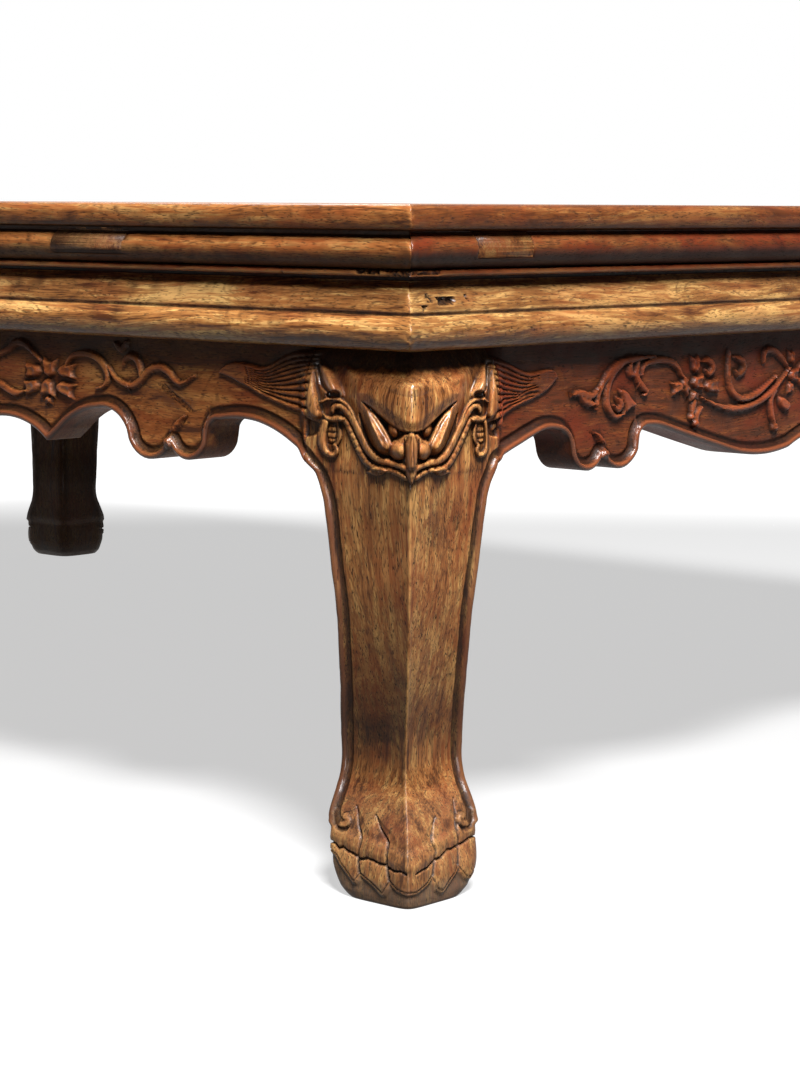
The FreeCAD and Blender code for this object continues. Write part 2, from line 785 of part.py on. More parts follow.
def leg_outline():
    """Side outline of a leg as insets and heights: cabriole front, flat sole, inner edge and shoulder."""
    height = value_of(LEG_TOP)
    inset, sweep, width = (value_of(n) for n in ("leg_inset", "leg_sweep", "leg_width"))
    outer = [(inset + sweep * inwards, height * up) for up, inwards in LEG_OUTER_SHARES]
    inner = [(inset + width * inwards, height * up) for up, inwards in LEG_INNER_SHARES]
    return outer, inner, (inset + width, height)


def leg_face(upright):
    """The outline as a face standing on X or on Y, given where an inset and a height lie."""
    outer, inner, shoulder = leg_outline()
    outer = [upright(*point) for point in outer]
    inner = [upright(*point) for point in inner]
    front, back = Part.BSplineCurve(), Part.BSplineCurve()
    front.interpolate(outer)
    back.interpolate(inner)
    corner = upright(*shoulder)
    edges = [
        front.toShape(),
        Part.LineSegment(outer[-1], inner[0]).toShape(),
        back.toShape(),
        Part.LineSegment(inner[-1], corner).toShape(),
        Part.LineSegment(corner, outer[0]).toShape(),
    ]
    return Part.Face(Part.Wire(edges))


def hook_key(swap):
    """Dovetail key that an apron hangs on, standing on one inner face of the leg."""
    reach, root, tip = (value_of(n) for n in ("hook_reach", "hook_root", "hook_tip"))
    face_at = value_of(LEG_INNER)
    middle = value_of("apron_inset + apron_thickness / 2")
    top = value_of(f"{LEG_TOP} - hook_top_gap")
    length = value_of("hook_length")
    corners = [
        (face_at, middle - root / 2),
        (face_at + reach, middle - tip / 2),
        (face_at + reach, middle + tip / 2),
        (face_at, middle + root / 2),
    ]
    if swap:
        corners = [(y, x) for x, y in corners]
    points = [FreeCAD.Vector(x, y, top - length) for x, y in corners]
    outline = Part.Face(Part.makePolygon(points + points[:1]))
    return outline.extrude(FreeCAD.Vector(0, 0, length))


def leg_tenon(height, along_x):
    """Tenon on the post's top: along_x says which way its frame member runs."""
    start = value_of("post_inset + leg_tenon_stand")
    across = value_of("post_inset + leg_tenon_inset")
    length, thickness = value_of("leg_tenon_length"), value_of("leg_tenon_thickness")
    low = value_of(FRAME_UNDERSIDE)
    if along_x:
        return Part.makeBox(length, thickness, height, FreeCAD.Vector(start, across, low))
    return Part.makeBox(thickness, length, height, FreeCAD.Vector(across, start, low))


def make_leg(label, corner, quarter_turns):
    """Cabriole leg with its post and tenons, in insets from the table's corner, then set in place."""
    deep = value_of(f"{LEG_INNER} + cut_overrun")
    side = leg_face(lambda inset, height: FreeCAD.Vector(inset, 0, height))
    front = leg_face(lambda inset, height: FreeCAD.Vector(0, inset, height))
    shape = side.extrude(FreeCAD.Vector(0, deep, 0)).common(front.extrude(FreeCAD.Vector(deep, 0, 0)))
    post_side = value_of(f"{LEG_INNER} - post_inset")
    post_low = value_of(LEG_TOP)
    post_height = value_of(FRAME_UNDERSIDE) - post_low
    at = value_of("post_inset")
    post = Part.makeBox(post_side, post_side, post_height, FreeCAD.Vector(at, at, post_low))
    long_is_x = quarter_turns % 2 == 0
    tenons = [
        leg_tenon(value_of("long_tenon_height"), long_is_x),
        leg_tenon(value_of("short_tenon_height"), not long_is_x),
    ]
    shape = shape.fuse([post, *tenons, hook_key(False), hook_key(True)]).removeSplitter()
    leg = doc.addObject("Part::Feature", label)
    leg.Label = label
    leg.Shape = shape.Solids[0]
    x = corner[0] * value_of("table_length / 2")
    y = corner[1] * value_of("table_depth / 2")
    leg.Placement = FreeCAD.Placement(
        FreeCAD.Vector(x, y, 0), FreeCAD.Rotation(FreeCAD.Vector(0, 0, 1), 90 * quarter_turns)
    )
    return leg


def short_side(make, label, quarter_turns, *place):
    """A piece that is drawn facing -Y but belongs to a short side."""
    return make(label, "y", *place, quarter_turns)


def build():
    fill_sheet()
    pieces = [
        make_frame_long("frame_long_front", 0),
        make_frame_long("frame_long_back", 2),
        make_frame_short("frame_short_right", 0),
        make_frame_short("frame_short_left", 2),
        make_board("panel_board_front", True),
        make_board("panel_board_back", False),
        make_brace("brace_left", f"-{BRACE_PLACE}"),
        make_brace("brace_middle", "0"),
        make_brace("brace_right", BRACE_PLACE),
    ]
    for side, turns in (("front", 0), ("back", 2)):
        pieces.append(make_waist(f"waist_{side}", "x", turns))
        pieces.append(make_belt(f"belt_{side}", "x", turns))
        pieces.append(make_apron(f"apron_{side}", "x", turns))
        pieces.append(make_pin(f"hanging_pin_{side}_left", "x", f"-{PIN_PLACE}", turns))
        pieces.append(make_pin(f"hanging_pin_{side}_right", "x", PIN_PLACE, turns))
    for side, turns in (("right", 0), ("left", 2)):
        pieces.append(make_waist(f"waist_{side}", "y", turns))
        pieces.append(make_belt(f"belt_{side}", "y", turns))
        pieces.append(short_side(make_apron, f"apron_{side}", turns + 1))
        pieces.append(short_side(make_pin, f"hanging_pin_{side}", turns + 1, "0"))
    for label, corner, turns in (
        ("leg_front_left", (-1, -1), 0),
        ("leg_front_right", (1, -1), 1),
        ("leg_back_right", (1, 1), 2),
        ("leg_back_left", (-1, 1), 3),
    ):
        pieces.append(make_leg(label, corner, turns))
    doc.recompute()
    return pieces


def check(pieces):
    for thing in doc.Objects:
        if "Invalid" in thing.State or "Error" in thing.State:
            raise RuntimeError(f"{thing.Name} is {thing.State}")
    for piece in pieces:
        shape = piece.Shape
        if shape.isNull() or not shape.isValid() or len(shape.Solids) != 1:
            raise RuntimeError(f"{piece.Label} has no single valid solid")


def export(pieces):
    os.makedirs("parts", exist_ok=True)
    for piece in pieces:
        piece.Shape.exportStep(f"parts/{piece.Label}.step")
        print(piece.Label, round(piece.Shape.Volume / 1000, 2), "cm3")


made = build()
check(made)
export(made)
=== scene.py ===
import json
import math

import bmesh
import bpy
import numpy as np
from mathutils import Matrix, Vector

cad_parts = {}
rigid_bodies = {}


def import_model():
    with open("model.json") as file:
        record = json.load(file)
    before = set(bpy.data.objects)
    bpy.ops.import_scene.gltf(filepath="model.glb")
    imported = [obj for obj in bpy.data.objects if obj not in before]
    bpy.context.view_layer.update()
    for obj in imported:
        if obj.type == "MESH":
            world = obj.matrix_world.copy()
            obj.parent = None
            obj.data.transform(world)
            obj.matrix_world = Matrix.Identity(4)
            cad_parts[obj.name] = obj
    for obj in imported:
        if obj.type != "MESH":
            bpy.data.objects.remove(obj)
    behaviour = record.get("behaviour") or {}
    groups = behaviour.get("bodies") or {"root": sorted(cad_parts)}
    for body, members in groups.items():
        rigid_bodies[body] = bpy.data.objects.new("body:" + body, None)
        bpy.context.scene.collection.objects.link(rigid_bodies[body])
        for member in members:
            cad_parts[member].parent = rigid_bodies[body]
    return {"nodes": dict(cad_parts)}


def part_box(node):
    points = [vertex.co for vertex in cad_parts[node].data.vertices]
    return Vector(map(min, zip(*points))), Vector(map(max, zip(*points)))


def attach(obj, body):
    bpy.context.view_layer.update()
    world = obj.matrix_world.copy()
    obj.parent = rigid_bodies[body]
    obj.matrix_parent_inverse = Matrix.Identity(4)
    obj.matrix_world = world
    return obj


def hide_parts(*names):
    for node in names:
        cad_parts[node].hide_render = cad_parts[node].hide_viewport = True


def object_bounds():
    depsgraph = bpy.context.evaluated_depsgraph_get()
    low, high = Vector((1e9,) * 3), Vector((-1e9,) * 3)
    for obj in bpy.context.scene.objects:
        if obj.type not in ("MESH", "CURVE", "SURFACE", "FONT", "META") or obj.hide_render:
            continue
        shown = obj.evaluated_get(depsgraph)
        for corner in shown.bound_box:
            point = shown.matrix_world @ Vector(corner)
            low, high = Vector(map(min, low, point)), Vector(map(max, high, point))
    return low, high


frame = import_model()
CAD_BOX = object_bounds()

# The table's outside, read from the frame, in millimetres
MM = 0.001
LENGTH = (CAD_BOX[1].x - CAD_BOX[0].x) / MM
DEPTH = (CAD_BOX[1].y - CAD_BOX[0].y) / MM
HEIGHT = CAD_BOX[1].z / MM

# Levels and insets that the pieces share
FRAME_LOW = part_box("frame_long_front")[0].z / MM
FRAME_WIDTH = DEPTH / 2 - abs(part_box("frame_long_front")[1].y) / MM
BELT_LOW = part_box("belt_front")[0].z / MM
BELT_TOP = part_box("belt_front")[1].z / MM
BELT_WIDTH = DEPTH / 2 - abs(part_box("belt_front")[1].y) / MM
APRON_INSET = DEPTH / 2 - abs(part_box("apron_front")[0].y) / MM
APRON_BACK = DEPTH / 2 - abs(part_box("apron_front")[1].y) / MM
JOINT_INSET = LENGTH / 2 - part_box("apron_front")[1].x / MM
POST_INSET = 26.0
PANEL_GROOVE = (8.0, 292.0, 296.0)
SIDES = ("front", "right", "back", "left")
LONG_SIDES = ("front", "back")
ROOT_TWO = math.sqrt(2.0)
SHARP_ANGLE = math.radians(70)


# Numbers: steps, curves and unevenness
def smooth_step(value, low, high):
    share = np.clip((value - low) / (high - low), 0.0, 1.0)
    return share * share * (3.0 - 2.0 * share)


def band(value, low, high, rise, fall):
    """1 between low and high, with soft ends inside them."""
    return smooth_step(value, low, low + rise) * smooth_step(high - value, 0.0, fall)


def swell(distance, half_width):
    """A rounded hump: 1 on the line, 0 at half_width and beyond."""
    return np.clip(1.0 - (distance / half_width) ** 2, 0.0, 1.0) ** 0.75


def wobble(points, size, seed, waves=14):
    """Smooth unevenness between about -1 and 1, whose hills are about size apart."""
    dice = np.random.default_rng(seed)
    total = np.zeros(len(points))
    for _ in range(waves):
        heading = dice.normal(size=3)
        heading *= dice.uniform(0.6, 1.5) / np.linalg.norm(heading)
        total += np.sin(points @ heading * (math.tau / size) + dice.uniform(0.0, math.tau))
    return total / math.sqrt(waves)


def curve_through(points, steps=6):
    """A smooth line that passes through the points."""
    known = np.array(points, float)
    known = np.vstack([2 * known[0] - known[1], known, 2 * known[-1] - known[-2]])
    t = np.linspace(0.0, 1.0, steps, endpoint=False)[:, None]
    spans = []
    for a, b, c, d in zip(known[:-3], known[1:-2], known[2:-1], known[3:]):
        bend = (2 * a - 5 * b + 4 * c - d) * t ** 2 + (3 * b - a - 3 * c + d) * t ** 3
        spans.append(0.5 * (2 * b + (c - a) * t + bend))
    return np.vstack(spans + [known[-2:-1]])


def arc_through(start, via, end, steps):
    """Points of the circle through three points, without the first one."""
    (ax, ay), (bx, by), (cx, cy) = start, via, end
    d = 2 * (ax * (by - cy) + bx * (cy - ay) + cx * (ay - by))
    a2, b2, c2 = ax * ax + ay * ay, bx * bx + by * by, cx * cx + cy * cy
    ux = (a2 * (by - cy) + b2 * (cy - ay) + c2 * (ay - by)) / d
    uy = (a2 * (cx - bx) + b2 * (ax - cx) + c2 * (bx - ax)) / d
    first = math.atan2(ay - uy, ax - ux)
    middle = (math.atan2(by - uy, bx - ux) - first) % math.tau
    last = (math.atan2(cy - uy, cx - ux) - first) % math.tau
    if middle > last:
        last -= math.tau
    radius = math.hypot(ax - ux, ay - uy)
    angles = first + last * np.arange(1, steps + 1) / steps
    return [(ux + radius * math.cos(a), uy + radius * math.sin(a)) for a in angles]


def line_and_arcs(outline, steps):
    """Turns ("start", x, y), ("line", x, y) and ("arc", via x, via y, x, y) into points."""
    points = [tuple(outline[0][1:])]
    for kind, *values in outline[1:]:
        if kind == "line":
            points.append(tuple(values))
        else:
            points += arc_through(points[-1], values[:2], values[2:], steps)
    return np.array(points)


def spaced_out(points, spacing):
    """The same line with points a set spacing apart."""
    lengths = np.hypot(*np.diff(points, axis=0).T)
    travelled = np.concatenate([[0.0], np.cumsum(lengths)])
    stops = np.linspace(0.0, travelled[-1], max(2, round(travelled[-1] / spacing) + 1))
    return np.column_stack([np.interp(stops, travelled, points[:, i]) for i in (0, 1)])


def distance_to(x, z, line):
    """Distance of every point to a line, and where along it the nearest place lies, from 0 to 1."""
    nearest = np.full(x.shape, 1e9)
    along = np.zeros(x.shape)
    lengths = np.hypot(*np.diff(line, axis=0).T)
    start = 0.0
    for (ax, az), (bx, bz), length in zip(line[:-1], line[1:], lengths):
        if length == 0.0:
            continue
        share = np.clip(((x - ax) * (bx - ax) + (z - az) * (bz - az)) / length ** 2, 0.0, 1.0)
        distance = np.hypot(x - ax - share * (bx - ax), z - az - share * (bz - az))
        closer = distance < nearest
        nearest[closer] = distance[closer]
        along[closer] = (start + share[closer] * length) / lengths.sum()
        start += length
    return nearest, along


def is_inside(x, z, loop):
    inside = np.zeros(x.shape, bool)
    for (ax, az), (bx, bz) in zip(loop, np.roll(loop, -1, axis=0)):
        if az != bz:
            crosses = (az > z) != (bz > z)
            inside ^= crosses & (x < ax + (z - az) * (bx - ax) / (bz - az))
    return inside


def blurred(sheet, reach):
    """Means over a square of neighbours of a sheet of heights."""
    for axis in (0, 1):
        padded = np.pad(sheet, [(reach + 1, reach) if a == axis else (0, 0) for a in (0, 1)], mode="edge")
        sums = np.cumsum(padded, axis=axis)
        count = sheet.shape[axis]
        high = np.take(sums, range(2 * reach + 1, 2 * reach + 1 + count), axis=axis)
        low = np.take(sums, range(0, count), axis=axis)
        sheet = (high - low) / (2 * reach + 1)
    return sheet


class Relief:
    """Carving: heights over points x, z, in millimetres, raised and cut stroke by stroke."""

    def __init__(self, x, z):
        self.x = x
        self.z = z
        self.height = np.zeros(x.shape)

    def near(self, line, reach):
        low = line.min(axis=0) - reach
        high = line.max(axis=0) + reach
        in_x = (self.x > low[0]) & (self.x < high[0])
        return np.flatnonzero(in_x & (self.z > low[1]) & (self.z < high[1]))

    def half_width(self, close, points, width, ends, straight=False):
        """Distance of the close points to a line, and half the stroke's width there."""
        line = np.array(points, float) if straight else curve_through(points)
        distance, along = distance_to(self.x[close], self.z[close], line)
        return distance, width / 2 * np.interp(along, (0.0, 0.3, 0.7, 1.0), (ends[0], 1.0, 1.0, ends[1]))

    def cord(self, points, width, height, ground=0.0, ends=(0.5, 0.5), flat=0.6, hollow=0.0):
        """A rounded strand that stands height above the ground level, hollow along its middle if asked."""
        close = self.near(np.array(points, float), width)
        distance, half = self.half_width(close, points, width, ends)
        raised = ground + (height - ground) * swell(distance, half) ** flat
        raised = raised - hollow * swell(distance, half * 0.5)
        on_it = distance < half
        self.height[close[on_it]] = np.maximum(self.height[close[on_it]], raised[on_it])

    def cut(self, points, width, depth, ends=(0.4, 0.4), straight=False):
        """A groove with round sides."""
        close = self.near(np.array(points, float), width)
        distance, half = self.half_width(close, points, width, ends, straight)
        self.height[close] -= depth * swell(distance, half)

    def notches(self, points, width, depth, spacing):
        """Short cuts across a strand."""
        line = curve_through(points)
        length = np.hypot(*np.diff(line, axis=0).T).sum()
        close = self.near(line, width)
        distance, along = distance_to(self.x[close], self.z[close], line)
        phase = (along * length / spacing) % 1.0
        nick = swell(np.abs(phase - 0.5), 0.22) * (distance < width / 2)
        self.height[close] -= depth * nick

    def dome(self, centre, size, height, ground=None, turn=0.0):
        """An oval swelling, or a pit where height is below zero."""
        reach = max(size)
        close = self.near(np.array([centre, centre], float), reach)
        dx = self.x[close] - centre[0]
        dz = self.z[close] - centre[1]
        c, s = math.cos(math.radians(turn)), math.sin(math.radians(turn))
        oval = np.hypot((dx * c + dz * s) / size[0], (dz * c - dx * s) / size[1])
        if ground is None:
            self.height[close] += height * swell(oval, 1.0)
            return
        on_it = oval < 1.0
        raised = ground + (height - ground) * swell(oval, 1.0)
        self.height[close[on_it]] = np.maximum(self.height[close[on_it]], raised[on_it])

    def plate(self, loop, height, edge, straight=False, merged=False):
        """A raised or sunk field inside a closed line, with an edge that slopes over a width."""
        closed = np.vstack([loop, loop[:1]])
        line = closed if straight else curve_through(closed)
        close = self.near(line, 0.5)
        distance, _ = distance_to(self.x[close], self.z[close], line)
        inside = is_inside(self.x[close], self.z[close], line)
        raised = np.where(inside, height * smooth_step(distance, 0.0, edge), 0.0)
        if merged:
            self.height[close] = np.maximum(self.height[close], raised)
        else:
            self.height[close] += raised


# Meshes: a grid bent into a closed skin
def closed_skin(name, around, along, points, marks):
    """A grid of around by along squares, bent onto points and sewn into a closed skin.

    points holds (along + 1) rows of (around + 1) places, and each row's last place is its first.
    marks are numbers per point, such as hollow and worn, which the materials read."""
    work = bmesh.new()
    bmesh.ops.create_grid(work, x_segments=around, y_segments=along, size=0.5)
    flat = np.array([v.co[:2] for v in work.verts])
    span = flat.max(axis=0) - flat.min(axis=0)
    column, row = np.rint((flat - flat.min(axis=0)) / span * (around, along)).astype(int).T
    mesh = bpy.data.meshes.new(name)
    work.to_mesh(mesh)
    work.free()
    mesh.vertices.foreach_set("co", (points[row, column] * MM).ravel())
    for mark, values in marks.items():
        layer = mesh.attributes.new(mark, "FLOAT", "POINT")
        layer.data.foreach_set("value", np.ascontiguousarray(values[row, column], np.float32))
    return mesh


def sewn(mesh, extras=()):
    """Merges the seam, fills the ends, adds cuts taken from CAD meshes and turns the faces outwards."""
    work = bmesh.new()
    work.from_mesh(mesh)
    bmesh.ops.remove_doubles(work, verts=work.verts, dist=1e-7)
    bmesh.ops.dissolve_degenerate(work, dist=1e-8, edges=work.edges)
    rim = [edge for edge in work.edges if edge.is_boundary]
    bmesh.ops.edgeloop_fill(work, edges=rim)
    bmesh.ops.recalc_face_normals(work, faces=work.faces)
    work.to_mesh(mesh)
    work.free()
    for extra in extras:
        add_mesh(mesh, extra)
    for polygon in mesh.polygons:
        polygon.use_smooth = True
    mesh.set_sharp_from_angle(angle=SHARP_ANGLE)
    return mesh


def add_mesh(mesh, extra):
    work = bmesh.new()
    work.from_mesh(mesh)
    work.from_mesh(extra)
    work.to_mesh(mesh)
    work.free()
    bpy.data.meshes.remove(extra)


def cut_from_node(node, low, high):
    """The part of a CAD piece inside a box given in millimetres, as a closed mesh."""
    work = bmesh.new()
    work.from_mesh(frame["nodes"][node].data)
    bmesh.ops.remove_doubles(work, verts=work.verts, dist=1e-6)
    for axis in range(3):
        for limit, sign in ((low[axis], -1.0), (high[axis], 1.0)):
            if limit is None:
                continue
            place = Vector([limit * MM if a == axis else 0.0 for a in range(3)])
            normal = Vector([sign if a == axis else 0.0 for a in range(3)])
            whole = work.verts[:] + work.edges[:] + work.faces[:]
            cut = bmesh.ops.bisect_plane(
                work, geom=whole, plane_co=place, plane_no=normal, clear_outer=True)
            rim = [e for e in cut["geom_cut"] if isinstance(e, bmesh.types.BMEdge)]
            if rim:
                bmesh.ops.edgeloop_fill(work, edges=rim)
    bmesh.ops.recalc_face_normals(work, faces=work.faces)
    mesh = bpy.data.meshes.new(node + "_cut")
    work.to_mesh(mesh)
    work.free()
    return mesh


def add_piece(name, mesh, node, material):
    piece = bpy.data.objects.new(name, mesh)
    bpy.context.scene.collection.objects.link(piece)
    mesh.materials.clear()
    mesh.materials.append(material)
    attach(piece, "root")
    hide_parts(node)
    return piece


def hollow_and_worn(height, reach, depth):
    """Marks for dirt and painted shade in the hollows, and wear on the high places, from the carving's
    heights.
    """
    rise = height - blurred(blurred(height, reach), reach)
    fine = height - blurred(height, 1)
    hollow = np.clip(-rise / depth, 0.0, 1.0) + np.clip(-fine * 3.0, 0.0, 0.6)
    worn = np.clip(rise / depth, 0.0, 1.0)
    return {"hollow": np.clip(hollow, 0.0, 1.0), "worn": worn}


# Wood: one node group, used by every material with its own values
def add_node(tree, kind, inputs=None, **settings):
    """Adds a node. inputs gives a value or another node's socket for each of its sockets."""
    made = tree.nodes.new(kind)
    for name, value in settings.items():
        setattr(made, name, value)
    for key, value in (inputs or {}).items():
        if isinstance(value, bpy.types.NodeSocket):
            tree.links.new(value, made.inputs[key])
        else:
            made.inputs[key].default_value = value
    return made


def sums(tree, operation, a, b=0.0, c=0.0, clamp=False):
    inputs = {0: a, 1: b, 2: c}
    return add_node(tree, "ShaderNodeMath", inputs, operation=operation, use_clamp=clamp).outputs[0]


def vectors(tree, operation, a, b, result="Vector"):
    return add_node(tree, "ShaderNodeVectorMath", {0: a, 1: b}, operation=operation).outputs[result]


def stretched(tree, vector, along):
    """The same pattern drawn out along the grain, where along is below 1."""
    return vectors(tree, "MULTIPLY", vector, (along, 1.0, 1.0))


def noise(tree, vector, scale, detail=2.0, roughness=0.5, result="Fac"):
    inputs = {"Vector": vector, "Scale": scale, "Detail": detail, "Roughness": roughness}
    return add_node(tree, "ShaderNodeTexNoise", inputs).outputs[result]


def spread(tree, value, low, high, to_low=0.0, to_high=1.0):
    inputs = {"Value": value, "From Min": low, "From Max": high, "To Min": to_low, "To Max": to_high}
    return add_node(tree, "ShaderNodeMapRange", inputs, interpolation_type="SMOOTHSTEP").outputs[0]


def blend_colours(tree, share, a, b):
    return add_node(tree, "ShaderNodeMix", {0: share, 6: a, 7: b}, data_type="RGBA").outputs[2]


WOOD_INPUTS = {
    "Tone": (0.27, 0.088, 0.022), "Gold": (0.62, 0.34, 0.115), "Red": (0.19, 0.034, 0.010),
    "Dark": (0.060, 0.018, 0.006), "Rubbed": (0.62, 0.30, 0.09), "Redness": 0.3, "Pores": 0.7,
    "Hollow": 0.0, "Worn": 0.0, "Bead": 0.0, "Beading": (0.115, 0.034, 0.013), "Grey": 0.0, "Ruddy": 0.0}
PORE_COLOUR = (0.022, 0.008, 0.004, 1)
# Grey for the claws, pad, cracks and foot; on the claws and pad it is partly a painted reflection of the
# floor.
GREY_COLOUR = (0.105, 0.075, 0.052, 1)
# Near-black that the hollow mark mixes in: dirt, and painted shade in hollows, recesses, grooves and
# undersides.
DIRT_AND_SHADE_COLOUR = (0.007, 0.0035, 0.0022, 1)


def make_hardwood_group():
    """Old oiled hardwood, with its grain along the vector's X."""
    tree = bpy.data.node_groups.new("old_hardwood", "ShaderNodeTree")
    tree.interface.new_socket(name="Vector", in_out="INPUT", socket_type="NodeSocketVector")
    for name, value in WOOD_INPUTS.items():
        is_colour = isinstance(value, tuple)
        kind = "NodeSocketColor" if is_colour else "NodeSocketFloat"
        socket = tree.interface.new_socket(name=name, in_out="INPUT", socket_type=kind)
        socket.default_value = (*value, 1.0) if is_colour else value
    for name, kind in (("Colour", "Color"), ("Roughness", "Float"), ("Height", "Float")):
        tree.interface.new_socket(name=name, in_out="OUTPUT", socket_type="NodeSocket" + kind)
    given = tree.nodes.new("NodeGroupInput").outputs

    # The grain wanders a few millimetres from straight
    drift = noise(tree, stretched(tree, given["Vector"], 0.5), 11.0, result="Color")
    drift = vectors(tree, "SUBTRACT", drift, (0.5, 0.5, 0.5))
    drift = vectors(tree, "MULTIPLY", drift, (0.0, 0.022, 0.022))
    grain = vectors(tree, "ADD", given["Vector"], drift)

    large = noise(tree, stretched(tree, grain, 0.4), 26.0, 2.0, 0.5)
    bands = noise(tree, stretched(tree, grain, 0.09), 130.0, 3.0, 0.6)
    streaks = noise(tree, stretched(tree, grain, 0.055), 480.0, 2.0, 0.6)
    fibres = noise(tree, stretched(tree, grain, 0.045), 1700.0, 2.0, 0.7)
    pores = noise(tree, stretched(tree, grain, 0.13), 2300.0, 1.0, 0.5)
    patches = noise(tree, stretched(tree, given["Vector"], 0.6), 42.0, 3.0, 0.6)
    mottle = noise(tree, given["Vector"], 600.0, 3.0, 0.7)

    # Light and dark wood, from four sizes of figure together
    shade = 0.5
    for figure, weight in ((large, 0.55), (bands, 1.35), (streaks, 1.20), (fibres, 0.75)):
        less = sums(tree, "SUBTRACT", shade, weight / 2)
        shade = sums(tree, "MULTIPLY_ADD", figure, weight, c=less)
    colour = blend_colours(tree, spread(tree, shade, 0.12, 0.46), given["Dark"], given["Tone"])
    colour = blend_colours(tree, spread(tree, shade, 0.44, 0.80), colour, given["Gold"])
    redder = sums(tree, "MULTIPLY_ADD", bands, 0.5, c=sums(tree, "SUBTRACT", patches, 0.25))
    redder = sums(tree, "MULTIPLY", spread(tree, redder, 0.42, 0.66), given["Redness"])
    ruddier = spread(tree, patches, 0.3, 0.6, 0.3, 0.8)
    redder = sums(tree, "MULTIPLY_ADD", given["Ruddy"], ruddier, c=redder, clamp=True)
    colour = blend_colours(tree, redder, colour, given["Red"])

    # Thin growth lines, dark blotches and short pores that come in clusters
    waves = sums(tree, "SINE", sums(tree, "MULTIPLY", large, 120.0))
    lines = sums(tree, "MULTIPLY", spread(tree, waves, 0.55, 1.0), spread(tree, streaks, 0.42, 0.62))
    colour = blend_colours(tree, sums(tree, "MULTIPLY", lines, 0.5), colour, given["Dark"])
    colour = blend_colours(tree, spread(tree, patches, 0.44, 0.28, 0.0, 0.55), colour, given["Dark"])
    clustered = sums(tree, "MULTIPLY_ADD", streaks, 0.35, c=sums(tree, "SUBTRACT", pores, 0.175))
    specks = sums(tree, "MULTIPLY", spread(tree, clustered, 0.57, 0.68), given["Pores"])
    colour = blend_colours(tree, specks, colour, PORE_COLOUR)

    # The bead, rubbed edges, grey places that are partly a painted floor reflection, and dirt with painted
    # shade in the hollows
    along_bead = sums(tree, "MULTIPLY", given["Bead"], spread(tree, patches, 0.3, 0.6, 0.75, 1.0))
    colour = blend_colours(tree, along_bead, colour, given["Beading"])
    rubbed = sums(tree, "MULTIPLY", given["Worn"], spread(tree, shade, 0.2, 0.6, 0.2, 0.6))
    colour = blend_colours(tree, rubbed, colour, given["Rubbed"])
    greyed = sums(tree, "MULTIPLY", given["Grey"], spread(tree, mottle, 0.2, 0.6, 0.95, 0.7))
    colour = blend_colours(tree, greyed, colour, GREY_COLOUR)
    dirt_and_shade = sums(tree, "MULTIPLY", given["Hollow"], spread(tree, mottle, 0.2, 0.6, 0.97, 0.85))
    colour = blend_colours(tree, dirt_and_shade, colour, DIRT_AND_SHADE_COLOUR)

    shine = spread(tree, patches, 0.3, 0.7, 0.26, 0.40)
    shine = sums(tree, "MULTIPLY_ADD", specks, 0.2, c=shine)
    shine = sums(tree, "MULTIPLY_ADD", given["Hollow"], 0.20, c=shine)
    shine = sums(tree, "MULTIPLY_ADD", given["Worn"], -0.06, c=shine)

    height = sums(tree, "MULTIPLY", fibres, 0.30)
    height = sums(tree, "MULTIPLY_ADD", specks, -0.6, c=height)
    height = sums(tree, "MULTIPLY_ADD", mottle, 0.30, c=height)
    add_node(tree, "NodeGroupOutput", {"Colour": colour, "Roughness": shine, "Height": height})
    return tree


HARDWOOD = make_hardwood_group()
GRAIN_TURN = {"X": (0.0, 0.0, 0.0), "Y": (0.0, 0.0, math.pi / 2), "Z": (0.0, math.pi / 2, 0.0)}
THIN_WAX = 0.04
WAX_ON_POLISH = 0.6
WAX_ROUGHNESS = 0.14
GLOSS = 0.10
GRAIN_STRENGTH = 0.4
GRAIN_DEPTH = 0.0005


def make_wood(name, grain, shift=(0, 0, 0), coat=THIN_WAX, **values):
    """A material of the wood group, with its grain along one axis and a thin coat of wax."""
    material = bpy.data.materials.new(name)
    material.use_nodes = True
    tree = material.node_tree
    tree.nodes.clear()
    place = add_node(tree, "ShaderNodeTexCoord").outputs["Object"]
    turned = {"Vector": place, "Location": shift, "Rotation": GRAIN_TURN[grain]}
    wood = tree.nodes.new("ShaderNodeGroup")
    wood.node_tree = HARDWOOD
    tree.links.new(add_node(tree, "ShaderNodeMapping", turned).outputs[0], wood.inputs["Vector"])
    for key in ("Hollow", "Worn", "Bead", "Grey", "Ruddy"):
        mark = add_node(tree, "ShaderNodeAttribute", attribute_name=key.lower()).outputs["Fac"]
        tree.links.new(mark, wood.inputs[key])
    for key, value in values.items():
        value = (*value, 1.0) if isinstance(value, tuple) else value
        wood.inputs[key.capitalize()].default_value = value
    relief = add_node(tree, "ShaderNodeBump", {
        "Height": wood.outputs["Height"], "Strength": GRAIN_STRENGTH, "Distance": GRAIN_DEPTH})
    polish = add_node(tree, "ShaderNodeAttribute", attribute_name="polish").outputs["Fac"]
    wax = sums(tree, "MULTIPLY_ADD", polish, WAX_ON_POLISH, c=coat)
    shader = add_node(tree, "ShaderNodeBsdfPrincipled", {
        "Base Color": wood.outputs["Colour"], "Roughness": wood.outputs["Roughness"],
        "Normal": relief.outputs[0], "Coat Weight": wax, "Coat Roughness": WAX_ROUGHNESS,
        "Specular IOR Level": GLOSS})
    add_node(tree, "ShaderNodeOutputMaterial", {"Surface": shader.outputs[0]})
    return material
